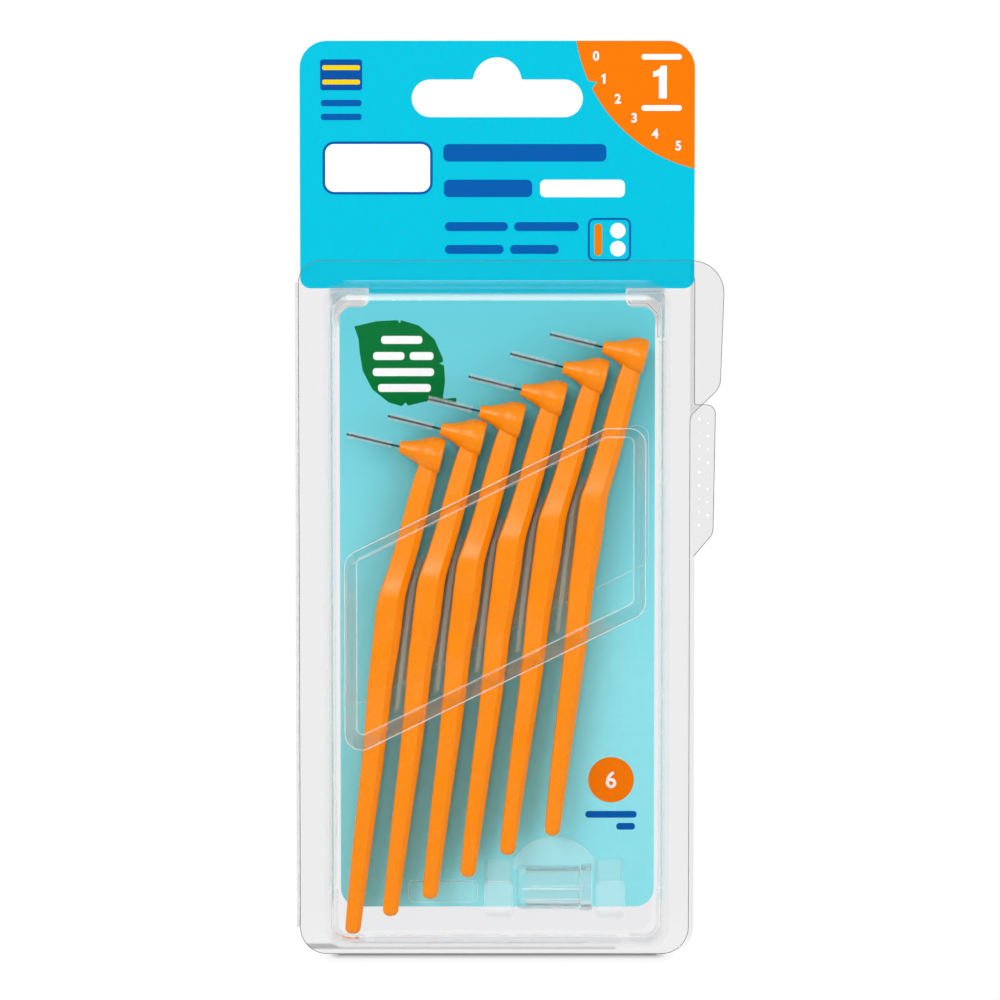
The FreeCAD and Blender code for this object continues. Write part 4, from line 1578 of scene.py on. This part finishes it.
@dataclass
class CaseWork:
    """Fine work of the clear case: its fold, painted lines along its edges and the grip tab's dots. Lengths
    are in metres.

    A column of dots is its x, the height of its first dot and its count.
    """

    turns: int = 14
    rises: int = 24
    sheet: float = 0.35 * MM
    pad_back: float = -8.11 * MM
    rib_front: float = -5.41 * MM
    rib_foot: float = -128.0 * MM
    grip_foot: float = -88.0 * MM
    tray_step: float = 0.3 * MM
    stud_step: float = 0.8 * MM
    cut_line: float = 0.07 * MM
    pad_line: float = 0.09 * MM
    form_line: float = 0.06 * MM
    dot_radius: float = 0.34 * MM
    dot_height: float = 0.13 * MM
    dot_pitch: float = 2.515 * MM
    dot_sides: int = 12
    dot_rings: int = 8
    near_column: tuple[float, float, int] = (38.32 * MM, -60.62 * MM, 9)
    far_column: tuple[float, float, int] = (39.99 * MM, -61.34 * MM, 8)

    def build(self, film: bpy.types.Material) -> None:
        """Builds the fold, the dots, and the fine painted lines along the edges.

        Args:
            film: what the fold is made of.
        """
        self.fold(film)
        self.dots(FormedEdge("frosted_dot", tone=1.0, clear=0.15).build())
        self.lines()

    def lines(self) -> None:
        """Painted dark lines for the shade on the cut edges of the two flanges, and painted highlight lines
        on the rounded edges of the forms pressed into them.
        """
        # Dark lines: painted shade on the cut edges. Pale lines: painted highlights on the rounded edges.
        cut = FormedEdge("cut_edge", tone=0.14, clear=0.25).build()
        bright = FormedEdge("formed_edge_highlight", tone=0.95, clear=0.5).build()
        cover_front, cover_back = (corner.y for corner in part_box("front_shell"))
        card_front, card_back = (corner.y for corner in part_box("insert_card"))
        tray_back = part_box("brush_tray")[1].y
        on_cover_front, on_pad_floor = lies_at(cover_front), lies_at(self.pad_back)
        on_rear, on_rib = lies_at(card_back + self.sheet), lies_at(self.rib_front)
        off_plate = lies_ahead(tray_back - self.sheet - self.tray_step)

        def on_upper(a: Vector, b: Vector) -> bool:
            """Whether an edge is the rear sheet's cut edge, right of the middle and not below the tab."""
            return on_rear(a, b) and min(a.z, b.z) > self.grip_foot and a.x > 0

        def on_pad(a: Vector, b: Vector) -> bool:
            """Whether an edge lies on the cover's front or on the floor of its pad."""
            return on_cover_front(a, b) or on_pad_floor(a, b)

        def on_form(a: Vector, b: Vector) -> bool:
            """Whether an edge belongs to a form in the tray, but not to the tops of the ribs."""
            rib = on_rib(a, b) and a.z > self.rib_foot
            return off_plate(a, b) and not rib

        flange = lies_at(cover_back - self.sheet)
        studs = lies_ahead(card_front - self.stud_step)
        rows = (
            ("cover_cut_edge", "front_shell", "cover", flange, self.cut_line, cut),
            ("rear_cut_edge", "rear_shell", "pack", on_upper, self.cut_line, cut),
            ("pad_edges", "front_shell", "cover", on_pad, self.pad_line, bright),
            ("tray_edges", "brush_tray", "pack", on_form, self.form_line, bright),
            ("stud_edges", "rear_shell", "pack", studs, self.form_line, bright),
        )
        for name, node, body, keep, radius, material in rows:
            EdgeLines(name, node, body, "clear_sheet", keep, radius).build(material)

    def fold(self, film: bpy.types.Material) -> None:
        """Half tube that joins the two sheets on the left.

        Args:
            film: what it is made of.
        """
        low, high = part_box("living_hinge")
        outer = (high.y - low.y) / 2
        inner = outer - (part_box("rear_shell")[1].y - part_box("insert_card")[1].y)
        middle = (high.y + low.y) / 2
        edge = high.x
        turns = [math.pi / 2 + math.pi * k / self.turns for k in range(self.turns + 1)]
        work = bmesh.new()
        rows = []
        for i in range(self.rises + 1):
            z = low.z + (high.z - low.z) * i / self.rises
            ring = []
            for radius in (outer, inner):
                spots = [(edge + radius * math.cos(t), middle + radius * math.sin(t), z) for t in turns]
                ring.append([work.verts.new(s) for s in spots])
            rows.append(ring[0] + ring[1][::-1])
        count = len(rows[0])
        for below, above in zip(rows, rows[1:]):
            for k in range(count):
                after = (k + 1) % count
                work.faces.new((below[k], below[after], above[after], above[k]))
        for ring in (rows[0], rows[-1]):
            for k in range(self.turns):
                work.faces.new((ring[k], ring[k + 1], ring[count - 2 - k], ring[count - 1 - k]))
        bmesh.ops.recalc_face_normals(work, faces=work.faces)
        for face in work.faces:
            face.smooth = True
        strip = as_object("fold_strip", work)
        strip.data.materials.append(film)
        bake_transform(strip)
        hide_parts("living_hinge")
        log.info("fold_strip: %d faces", len(strip.data.polygons))

    def dots(self, frosted: bpy.types.Material) -> None:
        """Two columns of small domes on the rear sheet's grip tab.

        Args:
            frosted: what they are made of.
        """
        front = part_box("insert_card")[1].y
        grown = GrownPiece("grip_dots")
        n = grown.n
        radius = grown.input("Dot radius", "Float", self.dot_radius)
        height = grown.input("Dot height", "Float", self.dot_height)
        pitch = grown.input("Dot pitch", "Float", self.dot_pitch)
        material = grown.input("Material", "Material", frosted)
        rings = {"Segments": self.dot_sides, "Rings": self.dot_rings, "Radius": 1.0}
        dome = n.add("GeometryNodeMeshUVSphere", rings)
        drop = grown.vector(0.0, 0.0, n.math("MULTIPLY", pitch, -1.0))
        size = grown.vector(radius, height, radius)
        columns = []
        for x, z, count in (self.near_column, self.far_column):
            inputs = {"Count": count, "Start Location": (x, front, z), "Offset": drop}
            line = n.add("GeometryNodeMeshLine", inputs, mode="OFFSET")
            inputs = {"Points": Nodes.out(line), "Instance": Nodes.out(dome), "Scale": size}
            columns.append(n.add("GeometryNodeInstanceOnPoints", inputs))
        dots = grown.finish(grown.together(columns), material)
        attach(dots, "pack")
        log.info("grip_dots: %d faces", len(dots.data.polygons))


@dataclass
class CapWork:
    """Painted highlights on the clear cap: two bright rods along it and bright lines on its round edges.
    Lengths are in metres.
    """

    gleam_radius: float = 0.09 * MM
    gleam_heights: Point = (0.3 * MM, -1.7 * MM)
    collar: float = 2.4 * MM
    end: float = 1.0 * MM
    cut_in: float = 0.1 * MM
    wall_step: float = 0.25 * MM
    rim_line: float = 0.06 * MM
    points: int = 12

    def build(self) -> None:
        """Builds the two painted highlight lines along the cap and the painted highlight rings at its ends.
        """
        self.low, self.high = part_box("protective_cap")
        self.centre = (self.low + self.high) / 2
        self.radius = (self.high.z - self.low.z) / 2 - self.wall_step - self.cut_in
        work = bmesh.new()
        for height in self.gleam_heights:
            self.add_gleam(work, height)
        bmesh.ops.recalc_face_normals(work, faces=work.faces)
        # Two bright rods along the cap: painted highlights where lamps shine on its round side.
        glint = FormedEdge("cap_gleam", tone=1.0, clear=0.3).build()
        dress(as_object("cap_gleams", work), glint, "cap")
        rim = FormedEdge("cap_rim", tone=0.95, clear=0.55).build()
        EdgeLines("cap_rims", "protective_cap", "cap", "clear_cap", self.on_rim, self.rim_line).build(rim)

    def add_gleam(self, work: bmesh.types.BMesh, height: float) -> None:
        """Adds a thin bright rod along the front of the cap, a painted highlight.

        Args:
            work: the mesh that gets it.
            height: how far it lies above the cap's middle.
        """
        y = self.centre.y - math.sqrt(self.radius**2 - height**2)
        z = self.centre.z + height
        turns = [math.tau * k / self.points for k in range(self.points)]
        ring = [(y + self.gleam_radius * math.cos(t), z + self.gleam_radius * math.sin(t)) for t in turns]
        ends = (self.low.x + self.end, self.high.x - self.collar)
        left, right = ([work.verts.new((x, *spot)) for spot in ring] for x in ends)
        work.faces.new(left)
        work.faces.new(right)
        for k in range(self.points):
            after = (k + 1) % self.points
            work.faces.new((left[k], left[after], right[after], right[k]))

    def on_rim(self, a: Vector, b: Vector) -> bool:
        """Whether an edge lies on the outside of the cap."""
        reach = [math.hypot(v.y - self.centre.y, v.z - self.centre.z) for v in (a, b)]
        return min(reach) > self.radius - self.wall_step


def main() -> None:
    """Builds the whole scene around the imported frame."""
    logging.basicConfig(level=logging.INFO, format="%(message)s")
    scene = bpy.context.scene
    scene.view_settings.view_transform = "Standard"
    for setting in ("max_bounces", "transmission_bounces", "transparent_max_bounces"):
        setattr(scene.cycles, setting, LIGHT_BOUNCES)
    Camera().build()
    Studio().build(cad_box[0][2])
    films = CaseFilms()
    cover = films.cover()
    dress_node("front_shell", cover)
    dress_node("living_hinge", cover)
    dress_node("rear_shell", films.rear())
    dress_node("brush_tray", films.tray())
    dress_node("protective_cap", films.cap())
    dress_node("insert_card", FoldedBoard("white_board").build())
    handle = MouldedPlastic("handle_plastic", Shade.HANDLE_ORANGE).build()
    steel = TwistedSteel("twisted_steel").build()
    nylon = NylonFilament("nylon_filament").build()
    brushes = sum(name.startswith("handle_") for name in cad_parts)
    for number in range(1, brushes + 1):
        dress_node(f"handle_{number}", handle)
        BrushWork(number).build(steel, nylon)
    inks = {shade: PrintedInk(shade.name.lower() + "_ink", shade).build() for shade in Shade}
    CardPrint().build(inks)
    # The fold's grey, part-clear tone is painted shade for the bend of the clear sheet.
    CaseWork().build(FormedEdge("fold_film", tone=0.72, clear=0.72).build())
    CapWork().build()


if __name__ == "__main__":
    main()
